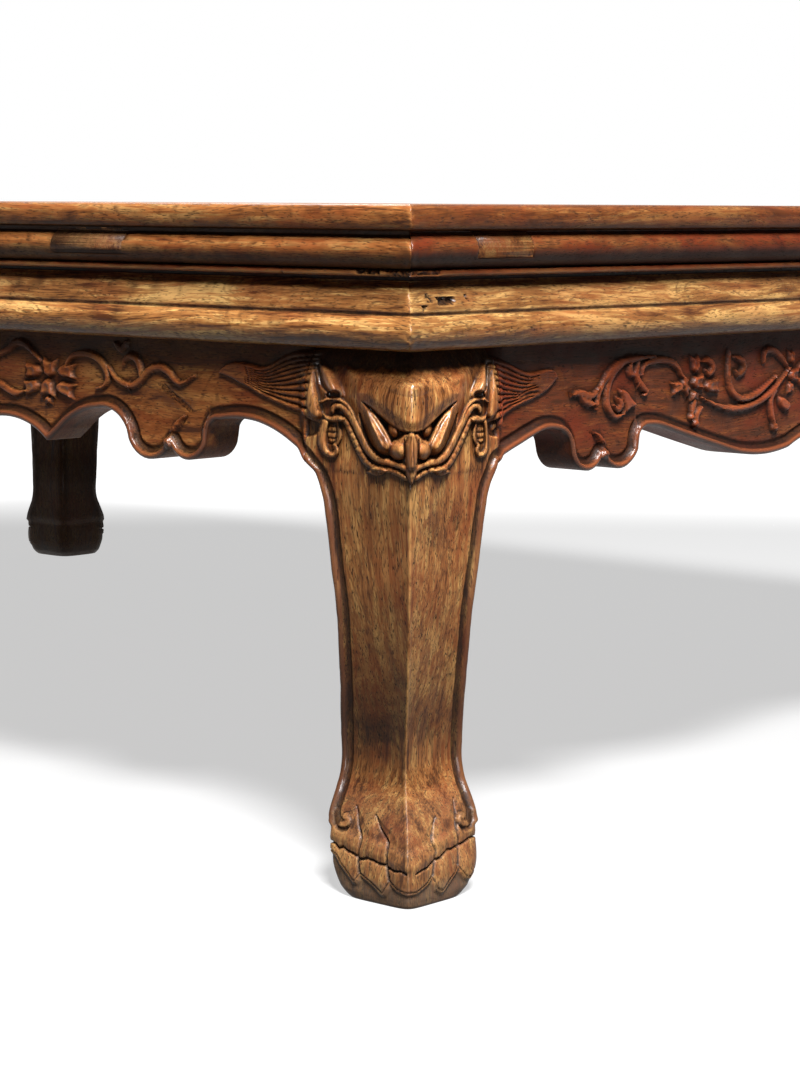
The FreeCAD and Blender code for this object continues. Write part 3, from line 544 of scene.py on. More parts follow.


# Near-black wood for the waist, which sits in deep shade between frame and belt: painted shadow, without
# wax.
PAINTED_SHADOW_BLACK = {"tone": (0.012, 0.005, 0.003), "gold": (0.02, 0.008, 0.004), "coat": 0.0}
UNWAXED = {"tone": (0.2, 0.09, 0.035), "gold": (0.3, 0.16, 0.06), "coat": 0.0}
# The long and short members of the frame and the belt differ in colour; part of that is painted light, the
# long ones lighter and the short ones darker, offsetting the key lamp, which lights the near short side
# more.
WOODS = {
    "frame_long": make_wood(
        "frame_long_wood", "X", (0.13, 0.02, 0.4), redness=0.45,
        tone=(0.24, 0.080, 0.021), gold=(0.34, 0.175, 0.056), rubbed=(0.38, 0.19, 0.06)),
    "frame_short": make_wood(
        "frame_short_wood", "Y", (0.31, 0.07, 0.1), redness=0.4, red=(0.125, 0.020, 0.006),
        tone=(0.125, 0.037, 0.010), gold=(0.23, 0.098, 0.028), rubbed=(0.25, 0.105, 0.032)),
    "belt_long": make_wood(
        "belt_long_wood", "X", (0.72, 0.31, 0.2), coat=0.22, redness=0.3,
        tone=(0.28, 0.115, 0.032), gold=(0.64, 0.39, 0.135)),
    "belt_short": make_wood(
        "belt_short_wood", "Y", (0.05, 0.9, 0.5), coat=0.22, redness=0.3,
        tone=(0.18, 0.074, 0.021), gold=(0.43, 0.245, 0.082), rubbed=(0.45, 0.25, 0.085)),
    "apron_long": make_wood(
        "apron_long_wood", "X", (0.4, 0.6, 0.3), coat=0.0, redness=0.6,
        tone=(0.25, 0.080, 0.020), gold=(0.46, 0.20, 0.055), rubbed=(0.30, 0.075, 0.025)),
    "apron_short": make_wood(
        "apron_short_wood", "Y", (0.8, 0.15, 0.7), coat=0.0, redness=0.9, red=(0.15, 0.024, 0.009),
        tone=(0.125, 0.029, 0.009), gold=(0.25, 0.075, 0.020), rubbed=(0.26, 0.060, 0.022)),
    "leg": make_wood(
        "leg_wood", "Z", (0.21, 0.44, 0.63), redness=0.5, pores=0.9,
        tone=(0.27, 0.102, 0.030), gold=(0.50, 0.27, 0.088), rubbed=(0.55, 0.29, 0.10)),
    "panel": make_wood("panel_wood_grain", "X", (0.5, 0.25, 0.9), redness=0.5),
    "waist_long": make_wood("waist_long_painted_shadow", "X", **PAINTED_SHADOW_BLACK),
    "waist_short": make_wood("waist_short_painted_shadow", "Y", **PAINTED_SHADOW_BLACK),
    "brace": make_wood("brace_wood", "Y", **UNWAXED),
    "pin": make_wood("pin_wood", "Z", **UNWAXED),
}


# Mouldings: the top frame and the belt, swept between mitres
def frame_edge(groove):
    """The top frame's moulding from the top down, over a groove of the given height."""
    return [
        ("start", 4.5, 300), ("arc", 1.2, 298.8, 0, 296), ("line", 0, 294.8),
        ("arc", 0.3, 291.9, 1.2, 289.8), ("line", 5.4, 289.2), ("line", 5.9, 289.2 - groove),
        ("line", 4.6, 288.4 - groove), ("arc", 0.9, 281, 8.6, 273.2), ("line", 8.6, 272.9),
        ("line", 5.5, 272.7), ("arc", 4.6, 271.4, 4.8, 270.3), ("line", 5.8, 270)]


FRAME_EDGES = {side: frame_edge(2.0 if side in LONG_SIDES else 0.7) for side in SIDES}
BELT_EDGE = [
    ("start", 11.4, 268.2), ("arc", 7.3, 262.3, 4.9, 255.2), ("line", 5.6, 254.4),
    ("line", 5.4, 253.8), ("line", 4.2, 253.4), ("arc", 1, 246.2, 4.6, 239.5), ("line", 6.5, 239)]
ARC_STEPS = 18
PROFILE_SPACING = 0.42
END_SPACINGS = ((0.0, 86.0, 0.8), (86.0, 150.0, 2.4))
MIDDLE_SPACING = 5.0
UNEVEN_FACES = ((90.0, 0.22), (14.0, 0.10), (5.0, 0.05))
LEAST_WEAR = 0.25
MOUTH_DEPTH = 0.8


def along_member(half):
    """Places along a member of a half length, closer together near its ends."""
    fine = [np.arange(*stretch) for stretch in END_SPACINGS]
    end_fine = END_SPACINGS[-1][1]
    coarse = np.linspace(end_fine, half, round((half - end_fine) / MIDDLE_SPACING) + 1)
    one_end = half - np.concatenate(fine + [coarse])
    return np.concatenate([-one_end, one_end[::-1][1:]])


def side_place(side, along, inset, level):
    """Turns places along a side, in from its edge and up, into X, Y and Z."""
    run = along if side in ("front", "right") else -along
    if side in LONG_SIDES:
        out = DEPTH / 2 - inset
        return np.stack([run, -out if side == "front" else out, level], axis=-1)
    out = LENGTH / 2 - inset
    return np.stack([-out if side == "left" else out, run, level], axis=-1)


NOT_RUDDY = (0.0, 1.0, 0.0)


def half_length(side):
    return (LENGTH if side in LONG_SIDES else DEPTH) / 2


def softened(points, share):
    """Rubs down the corners of an open line of points, whose ends stay."""
    points = points.copy()
    middle = (points[:-2] + 2 * points[1:-1] + points[2:]) / 4
    points[1:-1] = points[1:-1] * (1 - share) + middle * share
    return points


def sweep_member(name, side, edge, inner, chips, seed, mouths=(), shade=(), ruddy=NOT_RUDDY, specks=()):
    """A mitred member: its worn outer moulding, and its other faces from the points of inner."""
    moulding = softened(spaced_out(line_and_arcs(edge, ARC_STEPS), PROFILE_SPACING), 0.6)
    profile = np.vstack([moulding, np.array(inner, float), moulding[:1]])
    count = len(profile) - 1
    outer = len(moulding)
    along = along_member(half_length(side))
    inset = np.broadcast_to(profile[:, 0], (len(along), count + 1)).copy()
    level = np.broadcast_to(profile[:, 1], inset.shape).copy()
    run = (along / half_length(side))[:, None] * (half_length(side) - inset)
    place = side_place(side, run, inset, level).reshape(-1, 3)

    def unevenness(size, dice, waves=14):
        return wobble(place, size, dice, waves).reshape(inset.shape)

    # Handling has worn the faces uneven and rounded the corner
    uneven = sum(depth * unevenness(size, seed + n) for n, (size, depth) in enumerate(UNEVEN_FACES))
    ragged = 1.3 * unevenness(5.0, seed + 5)
    crumbled = unevenness(2.6, seed + 6, 24)
    from_mitre = half_length(side) - np.abs(run) - inset
    rounding = 1.0 + 0.5 * np.clip(unevenness(6.0, 33), -1.0, 1.0)
    in_from_mitre = np.maximum(from_mitre, 0.0)
    corner_wear = np.sqrt(in_from_mitre ** 2 / 2 + rounding ** 2) - in_from_mitre / ROOT_TWO
    press = np.maximum(LEAST_WEAR - uneven, 0.0) * smooth_step(from_mitre, 0.0, 6.0)

    # Chips, and the mouths of mortises that a worn tenon fills
    from_end = half_length(side) - run
    relief = np.zeros(inset.shape)
    for start, end, low, high, depth in chips:
        distance_in = from_end + ragged * (0.4 + 0.6 * smooth_step(level, low, high))
        window = band(distance_in, start, end, 1.2, 1.2) * band(level, low, high, 0.4, 0.5)
        relief += depth * window * np.clip(0.75 + 0.5 * crumbled, 0.1, 1.3)
    for centre, width, low, high in mouths:
        window = smooth_step(width / 2 - np.abs(run - centre), 0.0, 0.3)
        relief += MOUTH_DEPTH * window * band(level, low - 0.3, high + 0.3, 0.3, 0.3)
    on_edge = np.zeros(count + 1)
    from_rim = np.minimum(np.arange(outer), outer - 1 - np.arange(outer))
    on_edge[:outer] = np.minimum(1.0, from_rim / 3.0 + 0.3)
    on_edge[-1] = on_edge[0]
    push = (press + relief) * on_edge
    slide = corner_wear / ROOT_TWO * on_edge
    points = side_place(side, np.sign(run) * (np.abs(run) - slide), inset + push + slide, level)

    # Marks for the material: the hollow mark holds dirt and painted shade in the moulding's hollows, chips
    # and mouths, dark specks, and the bands of painted shade
    marks = hollow_and_worn(-(inset + push), 3, 1.1)
    hollow = marks["hollow"] + np.clip(relief - 0.35, 0.0, 1.0)
    for start, end, low, high, share in specks:
        window = band(from_end, start, end, 9.0, 9.0) * band(level, low, high, 2.5, 2.5)
        hollow = hollow + share * window * smooth_step(crumbled, 0.85, 1.5)
    for start, low, high, end, share in shade:
        hollow = hollow + share * band(level, start, end, low - start, end - high)
    marks["hollow"] = np.clip(hollow * on_edge, 0.0, 1.0)
    marks["worn"] = np.clip(marks["worn"] * on_edge + corner_wear * 0.12 * on_edge, 0.0, 1.0)
    shiny = np.clip(1.2 * (corner_wear - 0.45), 0.0, 1.0)
    marks["polish"] = shiny * on_edge * smooth_step(crumbled, -0.6, 0.8)
    low, high, share = ruddy
    marks["ruddy"] = share * band(level, low, high, 1.0, 1.0)
    return closed_skin(name, count, len(along) - 1, points, marks)


# Bands of painted shade, as (start, low, high, end, share): the lower ovolo, the underside of the upper
# band, the groove under the upper band on the long sides, and the whole ovolo of the short sides.
FRAME_SHADE = [(272.8, 273.4, 276, 283.5, 0.9), (289, 289.2, 289.8, 292, 0.3)]
GROOVE_SHADE = [(285.6, 286.8, 289.4, 289.8, 0.9)]
SHORT_SHADE = [(272.8, 273.4, 287, 290, 0.22)]
LONG_RUDDY = (269.0, 273.5, 0.8)
SHORT_RUDDY = (269.0, 289.5, 1.0)
# Painted shade at the step between the belt's cove and torus and at the foot of the cove.
BELT_SHADE = [(253.4, 253.8, 255, 258.5, 0.22)]


TENON_LEVELS = (273.0, 290.0, 0.8)
TENON_END = 5.0
BEHIND_FACE = 0.25
# How much darker the tenon ends and the braces are made all over, through the hollow mark.
TENON_DARKENING, BRACE_DARKENING = 0.6, 0.35
TENON_NEAR, TENON_FAR, TENON_CUT = 45.0, 84.0, 20.0


def shape_tenon_ends(mesh, axis, darkness):
    """Wears the ends of through tenons down to the moulding they come out of."""
    work = bmesh.new()
    work.from_mesh(mesh)
    for level in np.arange(*TENON_LEVELS):
        whole = work.verts[:] + work.edges[:] + work.faces[:]
        bmesh.ops.bisect_plane(work, geom=whole, plane_co=(0.0, 0.0, level * MM), plane_no=(0.0, 0.0, 1.0))
    edge = line_and_arcs(FRAME_EDGES["right" if axis == 0 else "front"], ARC_STEPS)[::-1]
    reach = (LENGTH if axis == 0 else DEPTH) / 2
    for vert in work.verts:
        along = vert.co[axis] / MM
        if reach - abs(along) < TENON_END:
            inset = np.interp(vert.co.z / MM, edge[:, 1], edge[:, 0]) + BEHIND_FACE
            vert.co[axis] = math.copysign(reach - inset, along) * MM
    work.to_mesh(mesh)
    work.free()
    darker = mesh.attributes.new("hollow", "FLOAT", "POINT")
    darker.data.foreach_set("value", np.full(len(mesh.vertices), darkness, np.float32))
    return mesh


def make_frame_member(side, seed, chips, mouths):
    long_side = side in LONG_SIDES
    node = ("frame_long_" if long_side else "frame_short_") + side
    groove_depth, groove_low, groove_high = PANEL_GROOVE
    inner = [(20, FRAME_LOW), (45, FRAME_LOW), (70, FRAME_LOW), (FRAME_WIDTH, FRAME_LOW),
             (FRAME_WIDTH, groove_low), (FRAME_WIDTH - groove_depth, groove_low),
             (FRAME_WIDTH - groove_depth, groove_high), (FRAME_WIDTH, groove_high),
             (FRAME_WIDTH, HEIGHT - 0.3), (FRAME_WIDTH - 0.4, HEIGHT), (FRAME_WIDTH - 0.9, HEIGHT),
             (75, HEIGHT), (50, HEIGHT), (28, HEIGHT), (12, HEIGHT), (5, HEIGHT)]
    wood = WOODS["frame_long" if long_side else "frame_short"]
    shade = FRAME_SHADE + (GROOVE_SHADE if long_side else SHORT_SHADE)
    ruddy = LONG_RUDDY if long_side else SHORT_RUDDY
    mesh = sweep_member(node, side, FRAME_EDGES[side], inner, chips, seed, mouths, shade, ruddy)
    extras = []
    if long_side:
        low_y, high_y = DEPTH / 2 - TENON_FAR, DEPTH / 2 - TENON_NEAR
        if side == "front":
            low_y, high_y = -high_y, -low_y
        for low_x, high_x in ((LENGTH / 2 - TENON_CUT, None), (None, TENON_CUT - LENGTH / 2)):
            extra = cut_from_node(node, (low_x, low_y, None), (high_x, high_y, None))
            extras.append(shape_tenon_ends(extra, 0, TENON_DARKENING))
    return add_piece("worn_" + node, sewn(mesh, extras), node, wood)


def make_brace(place_name):
    node = "brace_" + place_name
    whole = cut_from_node(node, (None, None, None), (None, None, None))
    mesh = shape_tenon_ends(whole, 1, BRACE_DARKENING)
    return add_piece("worn_" + node, sewn(mesh), node, WOODS["brace"])


def make_belt_member(side, seed, chips, specks):
    node = "belt_" + side
    inner = [(18, BELT_LOW), (BELT_WIDTH, BELT_LOW), (BELT_WIDTH, BELT_TOP), (25, BELT_TOP),
             (13.8, BELT_TOP)]
    wood = WOODS["belt_long" if side in LONG_SIDES else "belt_short"]
    mesh = sweep_member(node, side, BELT_EDGE, inner, chips, seed, shade=BELT_SHADE, specks=specks)
    return add_piece("worn_" + node, sewn(mesh), node, wood)


BEAD_BAND = (269.0, 273.4)
NEAR_CHIPS = {
    "front": [(3, 19, *BEAD_BAND, 1.3), (22, 36, 270.6, 273.4, 1.5), (78, 81.5, *BEAD_BAND, 0.6)],
    "right": [(DEPTH - 26, DEPTH - 3, 270.4, 273.4, 1.2)],
    "back": [(210, 222, *BEAD_BAND, 1.4)],
    "left": [(150, 158, *BEAD_BAND, 1.4)],
}
BELT_PITS = {
    "right": [(DEPTH - 21.5, DEPTH - 17, 259, 263, 1.3),
              (DEPTH - 35, DEPTH - 23.5, 257.6, 261.6, 1.9),
              (DEPTH - 17.5, DEPTH - 13, 255, 258.2, 1.3),
              (DEPTH - 45.5, DEPTH - 42.3, 258.8, 262.4, 1.5)],
    "front": [(130, 131.5, 239, 252, 0.5)],
}
BELT_SPECKS = {
    "right": [(DEPTH - 70, DEPTH - 5, 240.5, 252, 0.5), (DEPTH - 175, DEPTH - 60, 243, 249.5, 0.9),
              (DEPTH - 290, DEPTH - 170, 244.5, 248.5, 0.6)],
    "front": [(DEPTH, LENGTH - 8, 239.5, 249, 0.35)],
}

# The mouths of through mortises: width, low and high level
SHORT_MOUTH, SHORT_MOUTH_PLACE = (37.6, 277.6, 288.7), 63.6
LONG_MOUTH, LONG_MOUTH_PLACES = (48.4, 276.8, 287.2), (-320.0, 0.0, 320.0)
for number, side_name in enumerate(SIDES):
    if side_name in LONG_SIDES:
        tenon_mouths = [(place, *LONG_MOUTH) for place in LONG_MOUTH_PLACES]
    else:
        middle = half_length(side_name) - SHORT_MOUTH_PLACE
        tenon_mouths = [(sign * middle, *SHORT_MOUTH) for sign in (-1, 1)]
    make_frame_member(side_name, 11 + number, NEAR_CHIPS[side_name], tenon_mouths)
    make_belt_member(side_name, 41 + number, BELT_PITS.get(side_name, ()), BELT_SPECKS.get(side_name, ()))


# Legs: the square cabriole shape, with the mask, the paw and the bead carved on it
LEG_OUTER = [(-6, 12), (0, 7.8), (2, 7.2), (5, 7.2), (12, 8.4), (18, 9.7), (26, 12), (31, 14),
             (35, 16), (42, 20), (48, 24), (54, 26), (60, 26.5), (70, 25.5), (83, 23), (98, 20),
             (115, 17), (133, 14), (151, 12), (170, 10), (184, 9.5), (190, 9), (215, 9.2),
             (222, 9.8), (228, 11.2), (233, 13.8), (239, 18), (246, 24)]
LEG_INNER = [(-6, 42), (0, 48.6), (2, 50.8), (5, 53.4), (12, 56.6), (18, 57.6), (24, 58),
             (26.5, 58), (28.5, 58.4), (30.5, 59.6), (33, 61), (36, 61.6), (42, 62), (49, 62.9),
             (56, 63.4), (65, 63.2), (78, 61.8), (87, 60.2), (98, 59), (110, 57.8), (118, 57),
             (129, 56.4), (139, 57), (150, 57.8), (163, 58.3), (172, 59.2), (178, 60.8),
             (183.6, 63.6), (186.4, 65.8), (188.6, 68), (192, 68), (225, 68), (239, 68), (246, 68)]
RIDGE_ROUNDNESS = [(0, 6.5), (5, 7.5), (12, 10), (30, 18), (60, 36), (184, 40), (200, 20),
                   (212, 12), (240, 11)]
CORNER_ROUNDNESS = [(0, 4.4), (5, 6.5), (12, 10), (20, 15), (30, 20), (45, 24), (60, 30), (180, 36),
                    (240, 60)]
SIDESTEP = 0.9
ANKLE_SHADE = [(0, 0.1), (12, 0.1), (26, 0.25), (40, 0.36), (55, 0.52), (75, 0.62), (95, 0.42),
               (120, 0.18), (150, 0)]
FACE_COLUMNS = 128
BACK_COLUMNS = 9
MASK_LOW, MASK_TOP = 180.0, 239.0
SHOULDER_LOW, SHOULDER_HIGH = 184.0, 190.0


def level_of(stations, z):
    line = curve_through(stations)
    return np.interp(z, line[:, 0], line[:, 1])


def leg_levels():
    foot = np.arange(0.0, 48.0, 0.5)
    shaft = np.arange(48.0, MASK_LOW, 2.2)
    mask = np.arange(MASK_LOW, MASK_TOP, 0.45)
    return np.concatenate([foot, shaft, mask, [BELT_LOW]])


# Aprons: the cusped lower edges, as distance from the joint with the leg and height
LONG_OUTLINE = [
    ("start", 0, 188.8), ("arc", 16.9, 199.6, 31, 204.2), ("arc", 42, 205.2, 55.5, 203.8),
    ("arc", 61.3, 202, 63.4, 198.6), ("line", 63.9, 193.3), ("arc", 74.5, 184.6, 87.4, 191.2),
    ("arc", 100.6, 183.3, 114.9, 192.2), ("line", 115, 194.2), ("arc", 120.1, 201.2, 135.6, 204.9),
    ("arc", 151, 201.2, 163, 193.3), ("line", 171, 187.5), ("arc", 188, 195.9, 207, 197.2),
    ("arc", 245, 199.8, 318, 190), ("arc", 385, 201, 452, 186.5)]
SHORT_OUTLINE = [
    ("start", 0, 188.4), ("arc", 15, 194, 31, 199.2), ("arc", 39, 200.7, 46.5, 199.8),
    ("arc", 53, 196.2, 55.4, 190), ("arc", 66, 180.2, 79, 186.4), ("arc", 92, 179.5, 106, 187.8),
    ("line", 106.1, 191.8), ("arc", 108.7, 196.3, 114.5, 197.9), ("arc", 120.5, 197.6, 127, 196.3),
    ("arc", 150, 190.1, 186, 180.9), ("arc", 211, 178.5, 232, 180.6), ("arc", 262, 190, 302, 196.5)]
LONG_TAIL = [(87.4, 189.5), (88, 194.1), (86.2, 197.6), (82.7, 200.8), (79, 204.2)]
SHORT_TAIL = [(79.2, 186.2), (81.2, 189.2), (80.6, 191.9), (77.4, 194.5), (73.4, 197.1)]
LONG_SCRATCHES = [[(97.2 - 2.2 * n, 218.4), (91.3 - 2.2 * n, 214.6), (83.2 - 2.2 * n, 210.1),
                   (76.2 - 1.6 * n, 206.4)]
                  for n in (0.0, 1.0, 1.8)]

# The mane of the mask: top, middle and bottom strand on each apron
LONG_MANE = [
    [(56, 225.5), (51, 228.2), (45.5, 229.2), (37.8, 228.4), (29.8, 227.2), (23, 229),
     (16.6, 232.2), (8.7, 234.6), (-5, 236)],
    [(56, 225.2), (47, 226), (37.8, 224.6), (28, 222), (16, 223.2), (4, 226), (-5, 228)],
    [(56, 225), (49, 223.8), (43.3, 222), (37.8, 220.6), (29.8, 217.4), (20.5, 214.6),
     (11.3, 212.3), (2.2, 210.9), (-3, 210.5)],
]
SHORT_MANE = [
    [(45, 223.6), (42, 226.4), (35, 226.2), (27, 225), (19, 226.6), (10, 230), (2.5, 232.3),
     (-5, 234)],
    [(45, 223.4), (41, 222.6), (30, 219.8), (20, 218.2), (10, 219.4), (2, 221), (-5, 223)],
    [(44.6, 223.2), (39.2, 219.4), (28.4, 216), (17.8, 213.4), (8.8, 210.2), (4, 207.4), (-2, 204)],
]
MANES = {"front": LONG_MANE, "right": SHORT_MANE}
STRANDS = 10
BEAD_LINES = {}


def between(curves, share):
    """A line between three lines of a fan, from the first (0) to the last (1)."""
    shaped = [spaced_out(curve_through(curve), 1.0) for curve in curves]
    stops = np.linspace(0.0, 1.0, 16)
    even = []
    for line in shaped:
        own = np.linspace(0.0, 1.0, len(line))
        even.append(np.column_stack([np.interp(stops, own, line[:, i]) for i in (0, 1)]))
    if share < 0.5:
        return even[0] + (even[1] - even[0]) * (share * 2)
    return even[1] + (even[2] - even[1]) * (share * 2 - 1)


def carve_mane(relief, mane):
    """Strands that run back from under the ear and meet in a point."""
    for strand in range(STRANDS):
        share = strand / (STRANDS - 1)
        relief.cord(between(mane, share), 3.0, 2.2 - 0.5 * share, ends=(0.25, 1.1))
    for strand in range(STRANDS - 1):
        relief.cut(between(mane, (strand + 0.5) / (STRANDS - 1))[4:], 0.9, 0.8, ends=(0.2, 1.0))


def apron_outline(side):
    outline = LONG_OUTLINE if side in LONG_SIDES else SHORT_OUTLINE
    return line_and_arcs([(kind, *map(float, values)) for kind, *values in outline], 12)


# Height or depth, distance from the edge, and half width
BEAD = (1.45, 1.4, 1.6)
GROOVE = (0.9, 4.3, 1.9)


def bead_heights(from_joint, z, side):
    """The bead along the edge of leg and apron, and the groove beside it, from 0 to 1."""
    if side not in BEAD_LINES:
        rising = np.arange(28.0, 188.6, 1.5)
        inner_edge = np.column_stack([level_of(LEG_INNER, rising) - JOINT_INSET, rising])
        BEAD_LINES[side] = np.vstack([inner_edge, apron_outline(side)])
    distance, _ = distance_to(from_joint, z, BEAD_LINES[side])
    return [height * swell(distance - middle, half) for height, middle, half in (BEAD, GROOVE)]


EAR = [(36, 237), (33.6, 233.2), (30.6, 229), (27.8, 224), (26.2, 219.2), (27.6, 216.9),
       (31.6, 215.8), (35.2, 216.8), (37, 220.6), (37.8, 225.6), (37.5, 231.6)]
CHEEK_RIM = [(18.8, 216.3), (15.5, 212.1), (12.2, 206.8), (9.6, 201.6), (8.8, 198.6)]


def polish_mask(relief):
    """Where wax shines on the mask: the forehead, the ears and the rims of the cheeks."""
    relief.dome((0.0, 225.0), (6.5, 11.0), 1.0)
    relief.plate(EAR, 1.0, 1.0)
    relief.cord(CHEEK_RIM, 5.0, 0.8)


def carve_mask(relief):
    """The beast mask. x runs from the ridge outwards, so both halves are carved alike."""
    # Forehead, temples and cheeks are one swelling, and the brow hangs over the eyes
    face = [(-12, 231), (4, 231), (11, 232.4), (19, 231.4), (27.4, 232.8), (28.4, 227), (27, 221.5),
            (26.2, 217), (24.4, 213.5), (22.2, 209.5), (20, 204.5), (18, 199.8), (15.6, 196.2),
            (12, 194.4), (7, 194.2), (-12, 194.2)]
    relief.plate(face, 3.0, 6.0)
    brow = [(20.2, 217), (14.8, 213.1), (10.8, 210.3), (7.2, 207.7), (4.6, 206.1), (0, 205.4)]
    relief.plate([(-12, 205.4)] + brow[::-1] + [(23, 221), (16, 227), (0, 228),
                                                (-12, 228)], 2.0, 5.0)
    relief.dome((0.0, 226.5), (12.0, 6.0), 0.9)

    # Eye hole, slit and ball
    cheek_rim = [(15.2, 212), (11.6, 206.6), (9, 201.6), (7.8, 199)]
    hole = [(-12, 205.5)] + brow[::-1] + cheek_rim + [(4.4, 201.6), (2.4, 204), (-12, 204.2)]
    relief.plate(hole, -6.5, 1.1, straight=True)
    relief.cut([(20.4, 217.1), (15, 212.7), (11.4, 209.6),
                (8.6, 206.6)], 1.7, 2.6, ends=(0.15, 1.0))
    relief.dome((7.1, 205.4), (2.2, 3.2), 2.4, ground=-2.6, turn=-20)

    # Cheek: a drop with a crisp bright rim along the eye
    cheek = [(19, 216.3), (15.6, 212), (12.2, 206.8), (9.4, 201.4), (8.2, 197.2), (10.6, 194.9),
             (14.4, 196.8), (17.2, 202.4), (19.2, 209.6)]
    relief.plate(cheek, 5.2, 4.4)
    relief.dome((11.6, 198.6), (4.0, 4.6), 1.0)
    relief.cut([(20.8, 211.4), (18.8, 204.5), (16.4, 198.9), (13, 195), (9.4, 194),
                (6.6, 194.4)], 1.9, 3.0)

    # Nose: a long drop between two bulbs, over curled nostrils
    relief.dome((5.3, 197.3), (3.7, 4.2), 6.6, ground=1.0)
    relief.cord([(0, 203.8), (0, 199), (0, 195), (0, 191.5)], 5.4, 8.2, ground=2.0, ends=(0.5, 0.8))
    relief.cord([(0, 196), (0, 191), (0, 187), (0, 183.8)], 4.4, 5.6, ground=1.6, ends=(1.0, 0.15))
    relief.cut([(2.8, 202.2), (3, 197), (2.5, 192.6)], 0.9, 1.6)
    relief.cut([(3.3, 193.6), (4.8, 192.5), (6.8, 192.7), (8.6, 194.2)], 1.3, 2.8)

    # The two bands of the lips, and the faint line above them
    lip = [(31.7, 212), (31.2, 213.6), (29.4, 214.3), (27.4, 213.2), (25.2, 210.6), (22.6, 206.6),
           (20.4, 202), (18.4, 197.9), (15.8, 194.4), (12.3, 192.3), (8.7, 191.7), (4.7, 190.8),
           (1.6, 189.6)]
    beard = [(28.8, 208.8), (26.8, 208), (24.8, 203.9), (22.5, 198.9), (19.9, 193.9), (17, 190.2),
             (13.6, 188.9), (9.4, 188.7), (5.6, 187.6), (2, 185.6)]
    relief.cord(lip, 2.9, 3.6, ground=0.8, ends=(0.7, 0.8), flat=0.35)
    relief.cord(beard, 2.5, 2.6, ground=0.4, ends=(0.8, 0.8), flat=0.4)
    relief.notches(beard, 2.6, 0.5, 3.1)
    relief.cord([(36, 215.4), (33.4, 217), (29.8, 217), (26.6, 215.2), (24.2, 211.9),
                 (22.8, 208.8)], 1.6, 3.4,
                ground=0.8)
    relief.dome((30.6, 212.0), (0.9, 0.8), -1.6)

    # Ear: a flame, broad and smooth towards the face, with a slit and a bowl in it
    relief.plate(EAR, 6.4, 5.0)
    relief.cut([(36.4, 232), (36, 227), (35.2, 222.4), (33, 219.6)], 1.6, 2.4, ends=(0.3, 1.0))
    relief.dome((31.4, 218.9), (3.0, 2.2), -5.4, turn=-10)

    # The lobe outside the ear, and the hole under it
    lobe = [(37.6, 232), (39.6, 228.5), (40.7, 224), (41.5, 218.5), (41.6, 213), (40.6, 209.4),
            (38.6, 207.4), (36, 207.6), (35, 210), (35.6, 213.4), (36, 217), (36.6, 221),
            (37.2, 226.5)]
    relief.plate(lobe, 4.2, 2.4)
    relief.plate([(42.5, 209), (39.4, 207.6), (36.4, 206.6), (35.8, 203.4), (37.6, 200.6),
                  (42.5, 200)], -3.2, 1.0)

    # Brow leaf, side scroll with its teeth, and chin leaf
    relief.plate([(36, 211.8), (33.6, 209.8), (30.4, 210.6), (26.9, 209.9), (27.2, 207.7),
                  (31.2, 206.7), (34.8, 207.5)], 3.2, 1.1)
    scroll = [(34.6, 206.9), (35.6, 202), (35.7, 197.4), (34.3, 193.8), (31.6, 192.9), (30.3, 195),
              (31, 197.3)]
    relief.cord(scroll, 2.6, 3.2, ground=0.4, ends=(0.9, 0.6))
    relief.cord([(29.7, 206.2), (28.9, 201.6), (30, 197.8)], 1.8, 2.3, ground=0.3)
    relief.plate([(33.4, 206), (34, 201.5), (33, 198), (30.8, 199), (30.6, 205.6)], 1.2, 0.6)
    relief.notches([(32.3, 206.4), (32.2, 201.5), (32.3, 197)], 3.2, 0.9, 2.5)
    relief.plate([(18.4, 186.7), (14.6, 190), (9.6, 188.9), (11.2, 186.3), (14.2, 185.4)], 2.6, 0.9)


# The paw's lines, seen along the ridge: x from the ridge to the right, and height
TOE_GROOVES = [
    [(-21, 38.5), (-20.6, 31), (-19.4, 25.6), (-21.1, 18.4), (-20.8, 12)],
    [(-12.8, 36.5), (-11.4, 31), (-8.6, 26.2), (-9.4, 18), (-8.6, 11.4)],
    [(13.2, 35.5), (11.9, 30), (11.3, 26), (12.7, 21.5), (11.7, 12.6)],
    [(22.2, 41), (23.2, 33), (23, 28.4), (24, 22.8), (23.8, 14.2)],
]
PAW_CRACKS = [
    [(-33.5, 22.4), (-30.2, 22), (-28.6, 20.2), (-27, 21.2), (-24.8, 19.8), (-22.6, 19),
     (-20.2, 17.4), (-17, 18.6), (-14.6, 18.2), (-12.4, 17.2), (-9.7, 17.4), (-8.8, 16.4),
     (-6.3, 15.7), (-3.3, 16.1), (-1, 15.2)],
    [(3.6, 15), (6.4, 16), (8.7, 16.4), (12.2, 18.4), (15.1, 18.9), (17.9, 21.5), (20.8, 21.4),
     (23.7, 21.7), (26.5, 22.6), (28.7, 24), (33.5, 24)],
]
CLAW_TIPS = [(-38, 21), (-33, 19.5), (-29.8, 17.6), (-28, 14.4), (-25.4, 11.2), (-22.6, 8),
             (-20.8, 11.8), (-17.3, 10.2), (-14.1, 8), (-11.2, 5.4), (-10.1, 7.6), (-8.5, 11.2),
             (-4.9, 8.4), (-0.7, 7.2), (4.1, 7.6), (8.1, 9.9), (11.5, 12.4), (13.6, 6.8), (16, 5.2),
             (18.2, 7.6), (23.8, 13.8), (27.3, 8.6), (29, 7.8), (31.7, 10.4), (33.4, 14.6),
             (38, 17)]
HOOK = [(29.6, 34.5), (29.3, 32.2), (28.3, 30.4), (26, 30.5), (24.6, 32.2), (24.8, 34.2)]


